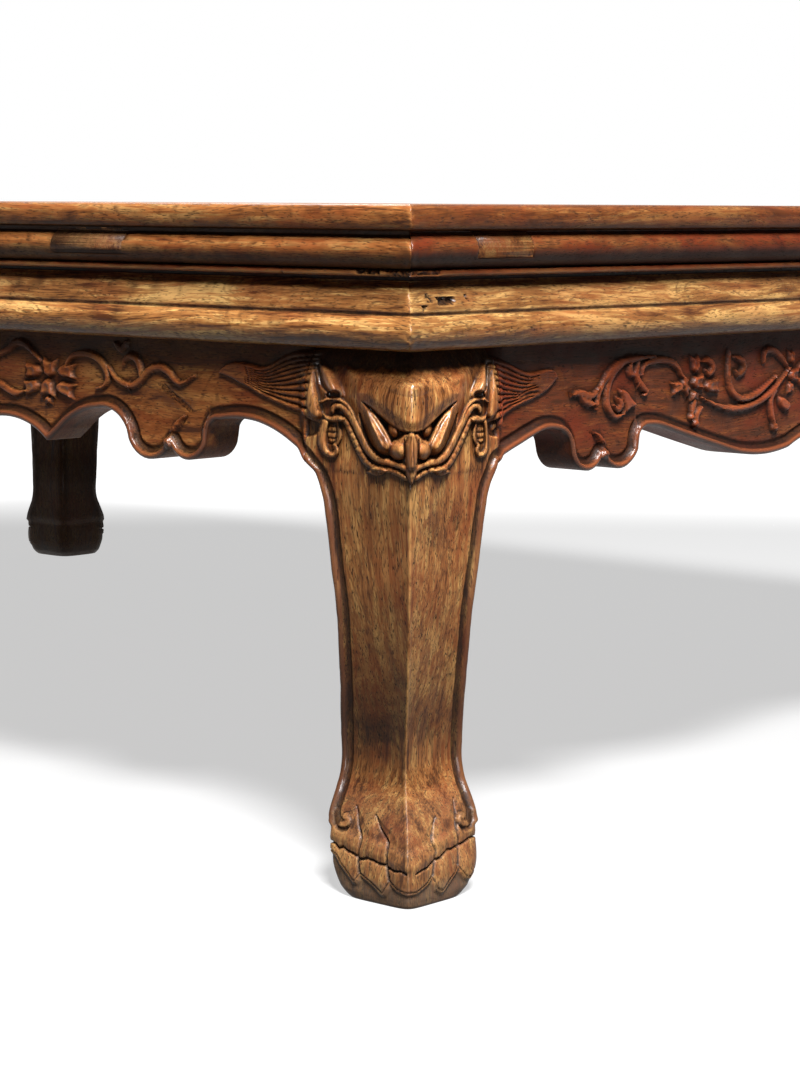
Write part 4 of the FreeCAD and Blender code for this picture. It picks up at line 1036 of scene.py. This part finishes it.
def carve_paw(relief):
    for groove in TOE_GROOVES:
        relief.cut(groove, 8.0, 0.7, ends=(0.1, 0.8))
        relief.cut(groove, 1.3, 1.3, ends=(0.1, 1.0))
    cracks = PAW_CRACKS[0] + PAW_CRACKS[1]
    knuckles = cracks + [(34, 34), (20, 31), (0, 26), (-20, 29), (-34, 33)]
    relief.plate(np.array(knuckles), 1.0, 4.0, straight=True)
    for crack in PAW_CRACKS:
        relief.cut(crack, 1.1, 1.5, ends=(0.9, 0.9), straight=True)
    relief.cut(CLAW_TIPS, 0.8, 0.6, straight=True)
    relief.plate(np.array(CLAW_TIPS + [(38, -8), (-38, -8)]), -1.3, 2.2, straight=True)
    for sign in (-1, 1):
        relief.cut([(sign * x, z - 2.0) for x, z in HOOK[1:5]], 2.2, 1.2)
        relief.cord([(sign * x, z) for x, z in HOOK], 2.4, 0.9, ends=(1.0, 1.0))
        relief.dome((sign * 25.2, 33.6), (1.6, 1.5), 1.4, ground=0.4)


def leg_shape():
    """The near leg as rows of (inset from the end, inset from the front, height), and its marks."""
    z_rows = leg_levels()
    steps = np.linspace(0.0, 1.0, FACE_COLUMNS + 1)
    back = np.linspace(0.0, 1.0, BACK_COLUMNS + 1)[1:]
    a = np.concatenate([1 - steps, np.zeros(FACE_COLUMNS), back, np.ones(BACK_COLUMNS)])
    b = np.concatenate([np.zeros(FACE_COLUMNS + 1), steps[1:], np.ones(BACK_COLUMNS), 1 - back])
    outer = level_of(LEG_OUTER, z_rows)[:, None]
    inner = level_of(LEG_INNER, z_rows)[:, None]
    centre, half = (outer + inner) / 2, (inner - outer) / 2
    square_x, square_y = 2 * a[None, :] - 1, 2 * b[None, :] - 1
    ridge_power = np.interp(z_rows, *zip(*RIDGE_ROUNDNESS))[:, None]
    corner_power = np.interp(z_rows, *zip(*CORNER_ROUNDNESS))[:, None]
    power = np.where((square_x < 0) & (square_y < 0), ridge_power, corner_power)
    scale = (np.abs(square_x) ** power + np.abs(square_y) ** power) ** (-1 / power)
    at_joint = smooth_step(z_rows, SHOULDER_LOW, SHOULDER_HIGH)[:, None]
    keep_square = np.where((square_x < 0) & (square_y < 0), 0.0, at_joint)
    scale = scale + (1.0 - scale) * keep_square
    section_x, section_y = square_x * scale, square_y * scale
    p, q = centre + half * section_x, centre + half * section_y
    z = np.broadcast_to(z_rows[:, None], p.shape)

    # Which way is out: square to the face, and along the diagonal at the corners
    section = np.stack([section_x, section_y])
    normal = np.sign(section) * np.abs(section) ** 7
    normal /= np.maximum(np.hypot(*normal), 1e-6)
    w = (q - p) / ROOT_TWO
    faces_end, faces_front = square_x <= -1 + 1e-9, square_y <= -1 + 1e-9
    outside = faces_end | faces_front
    far = np.abs(w)

    mask = Relief(far.ravel(), z.ravel())
    carve_mask(mask)
    fade = smooth_step(z, 181.0, 184.5)
    mask_height = mask.height.reshape(z.shape) * outside * fade
    shiny = Relief(far.ravel(), z.ravel())
    polish_mask(shiny)
    paw = Relief(w.ravel(), z.ravel())
    carve_paw(paw)
    paw_height = paw.height.reshape(z.shape) * outside * smooth_step(52.0 - z, 0.0, 4.0)

    # Bead and groove along the inner edge of each face, a thin raised ridge, faces a little hollow
    to_edge = (1.0 - np.maximum(a, b)[None, :]) * (inner - outer)
    on_front = np.broadcast_to(faces_front & ~faces_end, z.shape)
    on_end = np.broadcast_to(faces_end & ~faces_front, z.shape)
    bead, groove, mane = np.zeros(z.shape), np.zeros(z.shape), np.zeros(z.shape)
    for on_face, side in ((on_front, "front"), (on_end, "right")):
        from_joint = np.maximum(p, q)[on_face] - JOINT_INSET
        bead[on_face], groove[on_face] = bead_heights(from_joint, z[on_face], side)
        strands = Relief(from_joint, z[on_face])
        carve_mane(strands, MANES[side])
        mane[on_face] = strands.height * smooth_step(from_joint, -5.0, -1.0)
    on_shaft = smooth_step(z, 28.5, 31.0) * outside
    bead = bead - groove
    place = np.stack([p, q, z], axis=-1).reshape(-1, 3)
    rough = wobble(place, 7.0, 71).reshape(z.shape)
    from_ridge = np.abs(w + 0.5 * np.sin(z / 23.0) + 0.12 * rough)
    ridge = (0.34 + 0.12 * rough) * swell(from_ridge, 1.1) * band(z, 8.0, SHOULDER_LOW, 8.0, 2.0)
    across = np.clip(to_edge / (inner - outer), 0.0, 1.0)
    dish = -np.sin(math.pi * across) ** 0.8 * band(z, 50.0, SHOULDER_LOW, 25.0, 20.0)
    uneven = 0.14 * wobble(place, 22.0, 73).reshape(z.shape) + 0.05 * rough
    uneven = uneven * smooth_step(z, 1.0, 5.0)
    face_height = (bead * on_shaft + dish * outside + uneven * (to_edge > 0.01)) + paw_height
    face_height += np.maximum(mane - np.maximum(mask_height / ROOT_TWO, 0.0), 0.0)
    push_p = normal[0] * face_height - (ridge + mask_height) / ROOT_TWO
    push_q = normal[1] * face_height - (ridge + mask_height) / ROOT_TWO

    # Beside the aprons nothing moves sideways, so the joint stays closed
    hold = 1.0 - at_joint * (1.0 - smooth_step(to_edge, 0.0, 8.0))
    push_p = np.where(on_front, push_p * hold, push_p)
    push_q = np.where(on_end, push_q * hold, push_q)
    inner_faces = ~outside & (at_joint > 0)
    push_p = np.where(inner_faces, 0.0, push_p)
    push_q = np.where(inner_faces, 0.0, push_q)
    total = mask_height + face_height * outside + ridge
    marks = hollow_and_worn(total, 4, 1.5)
    in_mask = smooth_step(z, 181.0, 185.0)
    on_ridge = swell(from_ridge, 0.9) * (1.0 - in_mask) * outside * np.clip(0.5 + 0.4 * rough, 0.0, 1.0)
    marks["worn"] = np.clip(marks["worn"] * (1.0 - 0.65 * in_mask) + on_ridge, 0.0, 1.0)
    # Painted shade, mixed into the hollow mark: darker towards the ankle, and more on the front face, which
    # the key lamp lights less; the painted shadow of the belt across the leg's top, except on the high ear
    # plates; and painted shade in the groove beside the bead.
    ankle = np.interp(z, *zip(*ANKLE_SHADE)) * (1.0 - 0.25 * np.sign(w))
    below_high_places = 1.0 - smooth_step(mask_height, 3.4, 4.6)
    belt_shadow = smooth_step(z + 0.8 * rough, 230.0, 231.6) * outside * below_high_places
    shade = belt_shadow + 0.75 * groove * on_shaft + np.clip(ankle, 0.0, 0.8)
    # The claws, the pad and the cracks of the paw are greyer, and the foot a little greyer; on the claws
    # and pad the grey is partly a painted reflection of the floor. Low on the paw the hollow mark makes it
    # darker towards the bottom.
    low_down = smooth_step(14.0 - z - np.abs(far - 17.0) * 0.12, 0.0, 7.0)
    in_cracks = smooth_step(-paw_height, 0.6, 1.3) * smooth_step(22.0 - z, 0.0, 6.0)
    greyer_foot = 0.30 * smooth_step(50.0 - z, 0.0, 12.0)
    marks["grey"] = np.maximum(np.clip(low_down * 0.9 + in_cracks, 0.0, 1.0), greyer_foot)
    hollow = np.clip(marks["hollow"] + shade, 0.0, 1.0)
    hollow = hollow - 0.25 * low_down + 0.45 * smooth_step(17.0 - z, 0.0, 8.0)
    marks["hollow"] = np.clip(hollow, 0.0, 1.0)
    marks["bead"] = smooth_step(bead, 0.1, 0.5) * on_shaft
    marks["worn"] = marks["worn"] * (1.0 - 0.7 * marks["bead"])
    shiny_places = 0.7 * shiny.height.reshape(z.shape) * in_mask
    marks["polish"] = np.clip(shiny_places + 0.25 * marks["bead"], 0.0, 1.0) * outside
    points = np.stack([p + push_p, q + push_q, z], axis=-1)

    # Below the joint the leg stands a little nearer to the table's end than to its front
    aside = SIDESTEP * (1.0 - at_joint * smooth_step(np.maximum(p, q), 56.0, 64.0))
    aside = aside * np.where(inner_faces, 0.0, 1.0)
    points[..., 0] -= aside
    points[..., 1] += aside

    # The post above the shoulder
    post_p = POST_INSET + (JOINT_INSET - POST_INSET) * a
    post_q = POST_INSET + (JOINT_INSET - POST_INSET) * b
    post = [np.stack([post_p, post_q, np.full(a.shape, level)], axis=-1) for level in (BELT_LOW, FRAME_LOW)]
    points = np.concatenate([points, post])
    for key in marks:
        marks[key] = np.vstack([marks[key], np.zeros((2, len(a)))])
    return points, marks


def make_legs():
    points, marks = leg_shape()
    for end, end_sign in (("left", -1), ("right", 1)):
        for face, face_sign in (("front", -1), ("back", 1)):
            node = "leg_%s_%s" % (face, end)
            across = end_sign * (LENGTH / 2 - points[..., 0])
            ahead = face_sign * (DEPTH / 2 - points[..., 1])
            placed = np.stack([across, ahead, points[..., 2]], axis=-1)
            mesh = closed_skin("carved_" + node, points.shape[1] - 1, points.shape[0] - 1, placed, marks)
            tenons = cut_from_node(node, (None, None, FRAME_LOW), (None, None, None))
            add_piece("carved_" + node, sewn(mesh, [tenons]), node, WOODS["leg"])


make_legs()


# Carving on the aprons: distance from the joint and height
LONG_VINES = [
    [(216, 214), (206.9, 213.1), (200.4, 210.4), (193.9, 208.8), (187.1, 210.5)],
    [(212, 224), (204, 228), (198.8, 230.2), (195.5, 232.6), (190.2, 233.4), (185.1, 231.6),
     (180.7, 228.4), (176.2, 225.2)],
    [(161, 222.4), (158.9, 223.4), (154.1, 228.1), (145.6, 230), (137.4, 228.5), (131.9, 224.6),
     (129.5, 219.7), (130.8, 216.3), (134.1, 214.5), (137.5, 214.1)],
    [(129, 224.7), (125.2, 220.2), (119.6, 217.3), (113.2, 216.4), (107.2, 219.3), (102.8, 223.2),
     (98.3, 225.2), (93.6, 225.6), (88.9, 223.6), (84.8, 220.3), (81.4, 218.9), (77.6, 219.9),
     (72.3, 222.6)],
    [(107.2, 220.3), (107.8, 225.6), (110.1, 228.8), (114.3, 229.9), (117.9, 228.1),
     (118.3, 225.8)],
    [(124.5, 236.1), (119.7, 232.8), (116.5, 236.8)],
]
SHORT_VINES = [
    [(55.3, 215.2), (63, 215.6), (69.2, 214), (73.3, 214.6), (76.1, 217.4)],
    [(61.7, 214.3), (66.5, 211.6), (73.9, 209.8)],
    [(74.6, 207.7), (77.1, 216.1), (82.2, 222), (88.4, 226.6), (96.1, 228.8), (106.1, 229.7),
     (119.2, 230.1)],
    [(96.1, 204.9), (89.7, 203.3), (83.7, 207.3), (82.2, 212.9), (83.7, 218.7), (87.8, 223.6),
     (94.1, 226.9)],
    [(89.8, 212.3), (93.5, 209), (91.3, 206.6), (87.6, 208.6)],
    [(100.4, 228), (99.8, 223.5), (103, 221.9)],
    [(106.7, 228), (104.9, 222.2), (108.8, 216.9), (113.2, 213.9), (110.9, 212.4)],
    [(108.9, 221.9), (110.6, 225.7), (116.3, 227.8), (125.1, 228.1), (132.5, 226.9), (137.8, 223.9),
     (140.4, 220.5), (144.5, 218.4)],
    [(152.2, 209.4), (150.6, 205.1), (149.3, 200.3)],
    [(157.6, 204.5), (154, 201.3), (153, 197)],
    [(157.9, 208.7), (168, 205.3), (180.6, 202.6), (193.2, 202.4), (206, 204.5), (217.2, 208.9),
     (225.2, 214.1), (233.5, 220.2)],
    [(179.9, 230.5), (179.4, 222.4), (180.4, 215.2), (184.3, 209.6), (192.3, 206.7), (202.6, 208),
     (212.2, 211.9), (221.5, 216.8)],
    [(184.4, 227.1), (191.6, 225), (192.5, 220.9), (187.9, 218.4), (185.8, 221)],
    [(157, 226), (163, 226.4), (166.6, 223), (163, 220), (160, 222)],
    [(210.4, 223.5), (211.5, 229.1), (218.8, 229.2), (226.4, 224.6), (231.2, 220.1)],
    [(221.7, 209.6), (216.8, 205.3), (217.6, 197.9), (220.7, 191.4)],
]
SHORT_LEAVES = [
    [(91.1, 216.5), (96.5, 215.7), (102, 211.2), (106.1, 207.7), (100.3, 206.3), (96.8, 204.3),
     (95, 208.4)],
    [(224.6, 206.7), (229, 205.6), (233.9, 202.1), (231.1, 198.3), (225.7, 200.2), (223.6, 204)],
]

# Petals: middle, half length, half width, and the way they point in degrees
LONG_PETALS = [
    (158, 221, 6.6, 3.9, 180), (181.8, 220.2, 6.4, 3.9, 0), (182.6, 212.6, 6.2, 4, -12),
    (158.8, 212.6, 6.8, 4.1, 192), (169.7, 221.9, 5, 5.2, 90), (171.2, 212.7, 5, 5.2, -90),
    (170.8, 206.7, 2.8, 2.6, -90)]
SHORT_PETALS = [
    (137.2, 214.8, 4.6, 3.6, 190), (144.6, 213.4, 3.8, 3.2, -40), (143, 217, 3.6, 3, 60),
    (151.7, 225, 4.8, 3.6, 90), (165.4, 214.2, 6.8, 4, 0), (151.2, 210, 3.2, 3.6, -90),
    (153.8, 216.4, 5.4, 4.2, 0), (236.7, 216.3, 5, 4, 0), (234.4, 225.4, 4, 3, 90),
    (233.9, 210, 3.6, 3, -90), (244.5, 221, 4.6, 3, 30), (244.5, 212, 4.6, 3, -30)]
TULIP = [(-1, 0), (-0.55, 0.75), (0.15, 0.85), (1.1, 1.05), (0.75, 0.3), (0.75, -0.3), (1.1, -1.05),
         (0.15, -0.85), (-0.55, -0.75)]
BALLS = [(153, 196.8, 2.4), (149.3, 200, 1.8), (220.7, 191.2, 2.8)]


def carve_petal(relief, x, z, reach, width, turn):
    c, s = math.cos(math.radians(turn)), math.sin(math.radians(turn))
    loop = [(x + c * reach * a - s * width * b, z + s * reach * a + c * width * b) for a, b in TULIP]
    relief.plate(loop, 2.9, 1.6, merged=True)
    relief.dome((x + c * reach * 0.15, z + s * reach * 0.15), (reach * 0.5, width * 0.5), -0.8, turn=turn)


def carve_apron(relief, vines, leaves, petals, balls, mane, tail, scratches):
    for scratch in scratches:
        relief.cut(scratch, 0.7, 0.6, ends=(0.3, 1.0))
    relief.cord(tail, 3.6, 1.9, ends=(1.0, 0.25))
    relief.cut([(x - 2.0, z + 0.4) for x, z in tail[2:]], 1.2, 0.8)
    for vine in vines:
        relief.cord(vine, 3.4, 2.4, ends=(0.3, 0.3), flat=0.4, hollow=0.3)
    for leaf in leaves:
        relief.plate(np.array(leaf), 2.4, 1.2, merged=True)
    for petal in petals:
        carve_petal(relief, *petal)
    for x, z, size in balls:
        relief.dome((x, z), (size, size * 0.9), 2.8, ground=0.6)
    carve_mane(relief, mane)


FRONT_ROWS = 74
EDGE_ROWS = 10
EDGE_BAND = 5.0
GROUND_DEPTH = 1.3


def apron_columns(half):
    fine = np.arange(0.0, 236.0, 0.7)
    coarse = np.arange(236.0, half, 1.4)
    one_end = np.concatenate([fine, coarse, [half]])
    return np.concatenate([one_end - half, half - one_end[::-1][1:]])


def mirrored_about(strokes, place):
    return [[(2 * place - x, z) for x, z in stroke] for stroke in strokes]


def mirrored_petals(petals, place):
    return [(2 * place - x, z, reach, width, 180 - turn) for x, z, reach, width, turn in petals]


REPEAT_LONG = 241.0
MIDDLE_LONG, MIDDLE_SHORT = 452.0, 302.0
MIDDLE_PETALS = [(0, 220.5, 4.6, 4.4, 90), (11, 217.5, 5.6, 3.4, 10), (-11, 217.5, 5.6, 3.4, 170),
                 (7, 210.5, 4.6, 3.2, -40), (-7, 210.5, 4.6, 3.2, 220), (0, 212, 4, 4.2, -90)]


def middle_petals(place):
    return [(place + x, z, *rest) for x, z, *rest in MIDDLE_PETALS]


# For each pair: vines, leaves, petals, balls, mane, tail and scratches
APRON_CARVING = {
    "long": (LONG_VINES + mirrored_about(LONG_VINES, REPEAT_LONG) + [
        [(212, 213), (222, 219), (232, 224), (241, 225), (250, 224), (260, 219), (270, 213)],
        [(405, 220), (416, 224), (427, 221), (436, 214), (444, 210)],
        [(418, 209), (426, 205), (434, 206), (436, 212)],
        [(424, 231), (432, 229), (439, 225)]], [],
        LONG_PETALS + mirrored_petals(LONG_PETALS, REPEAT_LONG) + middle_petals(MIDDLE_LONG),
        [], LONG_MANE, LONG_TAIL, LONG_SCRATCHES),
    "short": (SHORT_VINES + [
        [(246, 214), (256, 209), (266, 210), (274, 216), (284, 220), (294, 217)],
        [(250, 224), (259, 229), (269, 228), (272, 222)],
        [(276, 207), (284, 204), (290, 208)]], SHORT_LEAVES,
        SHORT_PETALS + middle_petals(MIDDLE_SHORT), BALLS, SHORT_MANE, SHORT_TAIL, []),
}


def apron_shape(side):
    """Rows of (along, inset, height) round an apron's section, and its marks."""
    half = half_length(side) - JOINT_INSET
    along = apron_columns(half)
    outline = apron_outline(side)
    from_end = half - np.abs(along)
    low = np.interp(from_end, outline[:, 0], outline[:, 1])[:, None]
    share = np.linspace(0.0, 1.0, FRONT_ROWS - EDGE_ROWS + 1)[None, :]
    upper = BELT_LOW + (low + EDGE_BAND - BELT_LOW) * share
    edge = low + EDGE_BAND * (1.0 - np.linspace(0.0, 1.0, EDGE_ROWS + 1)[None, 1:])
    front_z = np.concatenate([upper, edge], axis=1)
    front_x = np.broadcast_to(from_end[:, None], front_z.shape)
    key = "long" if side in LONG_SIDES else "short"
    relief = Relief(front_x.ravel().copy(), front_z.ravel().copy())
    carve_apron(relief, *APRON_CARVING[key])
    height = relief.height.reshape(front_z.shape)

    # Near the leg the face swings out to meet it
    meet = APRON_INSET - level_of(LEG_OUTER, front_z)
    face = APRON_INSET - meet * smooth_step(8.0 - front_x, 0.0, 8.0)

    # The ear of the mask reaches a little way onto the apron
    w = (JOINT_INSET + front_x - face) / ROOT_TWO
    overlap = Relief(w.ravel(), front_z.ravel())
    carve_mask(overlap)
    over = overlap.height.reshape(front_z.shape) / ROOT_TWO * smooth_step(9.0 - front_x, 0.0, 2.0)
    height = np.where(over > 0.0, np.maximum(over, height), height + over)

    # The bead stands over a sunk ground
    bead, groove = bead_heights(front_x, front_z, side)
    distance, _ = distance_to(front_x, front_z, outline)
    sunk = GROUND_DEPTH * smooth_step(distance, 2.8, 5.0) * smooth_step(front_x, 0.0, 7.0)
    height = height + bead - groove - sunk
    place = np.stack([front_x + along[:, None] * 0.3, front_z, front_z * 0.0], axis=-1).reshape(-1, 3)
    uneven = 0.12 * wobble(place, 18.0, 91).reshape(front_z.shape)
    inset = face - height - uneven * smooth_step(front_x, 0.0, 6.0)

    under = np.array([0.12, 0.3, 0.55, 0.8, 1.0])[None, :]
    under_inset = np.maximum(inset[:, -1:], 0) + (APRON_BACK - inset[:, -1:]) * under
    under_z = np.broadcast_to(low, under_inset.shape)
    back_z = low + (BELT_LOW - low) * np.array([0.25, 0.5, 0.75, 1.0])[None, :]
    back_inset = np.full(back_z.shape, APRON_BACK)
    top_inset = np.broadcast_to(np.array([24.0, 17.0])[None, :], (len(along), 2))
    top_z = np.full(top_inset.shape, BELT_LOW)
    insets = np.concatenate([inset, under_inset, back_inset, top_inset, inset[:, :1]], axis=1)
    levels = np.concatenate([front_z, under_z, back_z, top_z, front_z[:, :1]], axis=1)
    marks = hollow_and_worn(height, 3, 1.1)
    # The hollow mark gets the painted shadow of the belt over the apron's top and painted shade in the
    # groove beside the bead; on the short aprons the low ground is also made darker towards the bottom.
    shade = 0.9 * smooth_step(front_z, 224.0, 235.0) + 0.75 * groove
    if key == "short":
        shade += 0.3 * smooth_step(front_z, 216.0, 204.0) * (1.0 - smooth_step(height, 0.0, 1.0))
    marks["hollow"] = np.clip(marks["hollow"] + shade, 0.0, 1.0)
    marks["bead"] = smooth_step(bead, 0.05, 0.45)
    on_vines = smooth_step(height, 0.4, 1.2) * smooth_step(front_z, 222.0, 212.0)
    marks["polish"] = 0.25 * marks["bead"] + 0.3 * on_vines
    marks["worn"] = marks["worn"] * (1.0 - 0.7 * marks["bead"])
    extra = insets.shape[1] - front_z.shape[1]
    for mark in marks:
        marks[mark] = np.concatenate([marks[mark], np.zeros((len(along), extra))], axis=1)
    # The underside, back and top of the apron get painted shade.
    marks["hollow"][:, front_z.shape[1]:-1] = 0.45
    marks["hollow"][:, -1] = marks["hollow"][:, 0]
    runs = np.broadcast_to(along[:, None], insets.shape)
    return runs, insets, levels, marks


def make_aprons():
    for pair, wood in ((("front", "back"), "apron_long"), (("right", "left"), "apron_short")):
        runs, insets, levels, marks = apron_shape(pair[0])
        for side in pair:
            points = side_place(side, runs, insets, levels)
            name = "carved_apron_" + side
            mesh = closed_skin(name, points.shape[1] - 1, points.shape[0] - 1, points, marks)
            add_piece(name, sewn(mesh), "apron_" + side, WOODS[wood])


make_aprons()


# The CAD pieces that stay
def dress_node(node, wood):
    mesh = frame["nodes"][node].data
    mesh.materials.clear()
    mesh.materials.append(WOODS[wood])


for board in ("panel_board_front", "panel_board_back"):
    dress_node(board, "panel")
for place_name in ("left", "middle", "right"):
    make_brace(place_name)
for side_name in SIDES:
    dress_node("waist_" + side_name, "waist_long" if side_name in LONG_SIDES else "waist_short")
for node_name in frame["nodes"]:
    if node_name.startswith("hanging_pin"):
        dress_node(node_name, "pin")


# Floor, light and camera
CAMERA_PLACE = Vector((1.26133, -1.21887, 0.3008))
CAMERA_TURN = math.radians(41.34)
CAMERA_PITCH = math.radians(6.915)
CAMERA_ROLL = 0.0058
FOCAL_PIXELS = 2730.0
PHOTO_HEIGHT = 1067.0
SENSOR = 36.0


def make_floor():
    """A pale floor. The camera sees it white, with the shadow that the table throws."""
    work = bmesh.new()
    bmesh.ops.create_grid(work, x_segments=4, y_segments=4, size=30.0)
    mesh = bpy.data.meshes.new("floor")
    work.to_mesh(mesh)
    work.free()
    floor = bpy.data.objects.new("floor", mesh)
    bpy.context.scene.collection.objects.link(floor)
    material = bpy.data.materials.new("pale_floor")
    material.use_nodes = True
    tree = material.node_tree
    tree.nodes.clear()
    place = add_node(tree, "ShaderNodeTexCoord").outputs["Object"]
    grit = noise(tree, place, 3.0)
    shade = blend_colours(tree, grit, (0.08, 0.08, 0.08, 1), (0.09, 0.09, 0.09, 1))
    plain = add_node(tree, "ShaderNodeBsdfDiffuse", {"Color": shade}).outputs[0]
    seen = add_node(tree, "ShaderNodeBsdfDiffuse", {"Color": (0.44, 0.44, 0.44, 1)}).outputs[0]
    near_spot = (CAMERA_PLACE.x, CAMERA_PLACE.y, 0.0)
    away = vectors(tree, "DISTANCE", place, near_spot, "Value")
    strength = spread(tree, away, 2.5, 2.85, 0.585, 1.0)
    glow = add_node(tree, "ShaderNodeEmission", {"Color": (1, 1, 1, 1), "Strength": strength}).outputs[0]
    lifted = add_node(tree, "ShaderNodeAddShader", {0: seen, 1: glow}).outputs[0]
    paths = add_node(tree, "ShaderNodeLightPath").outputs
    seen_or_mirrored = sums(tree, "ADD", paths["Is Camera Ray"], paths["Is Glossy Ray"], clamp=True)
    surface = add_node(tree, "ShaderNodeMixShader", {0: seen_or_mirrored, 1: plain, 2: lifted}).outputs[0]
    add_node(tree, "ShaderNodeOutputMaterial", {"Surface": surface})
    mesh.materials.append(material)
    return floor


KEY_PLACE = Vector((2.23, -1.77, 2.6))
KEY_SIZE = 0.62
KEY_POWER = 175.0
KEY_POWER_ON_TABLE = 125.0
OVERHEAD_PLACE = Vector((1.45, -0.86, 2.6))
OVERHEAD_SIZE = 0.8
OVERHEAD_POWER = 200.0
SHEEN_PLACE = Vector((2.3, -2.2, 0.55))
SHEEN_SIZE = (0.5, 1.1)
SHEEN_POWER = 45.0
BACK_DIRECTION = Vector((-0.75, 0.7, 0.62))
BACK_STRENGTH = 0.8
NEAR_CORNER = Vector((LENGTH / 2 * MM, -DEPTH / 2 * MM, 0.15))
FILL_STRENGTH = 0.02
SURROUND_STRENGTH = 0.25


def add_light(name, kind, place, towards, energy, size=1.0):
    light = bpy.data.lights.new(name, kind)
    lamp = bpy.data.objects.new(name, light)
    light.energy = energy
    if kind == "AREA":
        light.size = size
    lamp.location = place
    lamp.rotation_euler = (place - towards).to_track_quat("Z", "Y").to_euler()
    lamp.visible_camera = False
    bpy.context.scene.collection.objects.link(lamp)
    return lamp, light


def make_lights(floor):
    """Softboxes high on the right and overhead, one that only shows in the wax, and a lamp behind."""
    shadow_lamp, _ = add_light("shadow_caster", "AREA", KEY_PLACE, NEAR_CORNER, KEY_POWER, KEY_SIZE)
    key_lamp, _ = add_light("key", "AREA", KEY_PLACE, NEAR_CORNER, KEY_POWER_ON_TABLE, KEY_SIZE)
    overhead_lamp, _ = add_light(
        "overhead", "AREA", OVERHEAD_PLACE, NEAR_CORNER, OVERHEAD_POWER, OVERHEAD_SIZE)
    sheen_lamp, sheen = add_light("sheen", "AREA", SHEEN_PLACE, NEAR_CORNER, SHEEN_POWER)
    sheen.shape = "RECTANGLE"
    sheen.size, sheen.size_y = SHEEN_SIZE
    sheen_lamp.visible_diffuse = False
    back_lamp, back = add_light("back", "SUN", BACK_DIRECTION * 3.0, Vector(), BACK_STRENGTH)
    back.angle = math.radians(12.0)
    floor_only = bpy.data.collections.new("lit_floor")
    floor_only.objects.link(floor)
    table_only = bpy.data.collections.new("lit_table")
    sides_only = bpy.data.collections.new("lit_sides")
    for thing in bpy.context.scene.objects:
        if thing.type == "MESH" and thing != floor:
            table_only.objects.link(thing)
            if "frame_" not in thing.name and "panel_board" not in thing.name:
                sides_only.objects.link(thing)
    shadow_lamp.light_linking.receiver_collection = floor_only
    sheen_lamp.light_linking.receiver_collection = sides_only
    for lamp in (key_lamp, overhead_lamp, back_lamp):
        lamp.light_linking.receiver_collection = table_only

    world = bpy.data.worlds.new("studio")
    world.use_nodes = True
    tree = world.node_tree
    tree.nodes.clear()
    paths = add_node(tree, "ShaderNodeLightPath").outputs
    seen = sums(tree, "MULTIPLY", paths["Is Camera Ray"], 1.0 - FILL_STRENGTH)
    mirrored = sums(tree, "MULTIPLY", paths["Is Glossy Ray"], SURROUND_STRENGTH - FILL_STRENGTH)
    strength = sums(tree, "ADD", sums(tree, "ADD", seen, mirrored), FILL_STRENGTH)
    sky = add_node(tree, "ShaderNodeBackground", {"Color": (1, 1, 1, 1), "Strength": strength}).outputs[0]
    add_node(tree, "ShaderNodeOutputWorld", {"Surface": sky})
    bpy.context.scene.world = world


def make_camera():
    camera = bpy.data.cameras.new("camera")
    camera.sensor_width = SENSOR
    camera.lens = FOCAL_PIXELS * SENSOR / PHOTO_HEIGHT
    level = math.cos(CAMERA_PITCH)
    ahead = Vector((-math.sin(CAMERA_TURN) * level, math.cos(CAMERA_TURN) * level, -math.sin(CAMERA_PITCH)))
    flat_right = Vector((math.cos(CAMERA_TURN), math.sin(CAMERA_TURN), 0.0))
    flat_up = flat_right.cross(ahead)
    right = flat_right * math.cos(CAMERA_ROLL) + flat_up * math.sin(CAMERA_ROLL)
    up = flat_up * math.cos(CAMERA_ROLL) - flat_right * math.sin(CAMERA_ROLL)
    turn = Matrix((right, up, -ahead)).transposed()
    view = bpy.data.objects.new("camera", camera)
    view.matrix_world = Matrix.Translation(CAMERA_PLACE) @ turn.to_4x4()
    bpy.context.scene.collection.objects.link(view)
    bpy.context.scene.camera = view


make_lights(make_floor())
make_camera()
bpy.context.scene.view_settings.view_transform = "Standard"

bpy.context.view_layer.update()
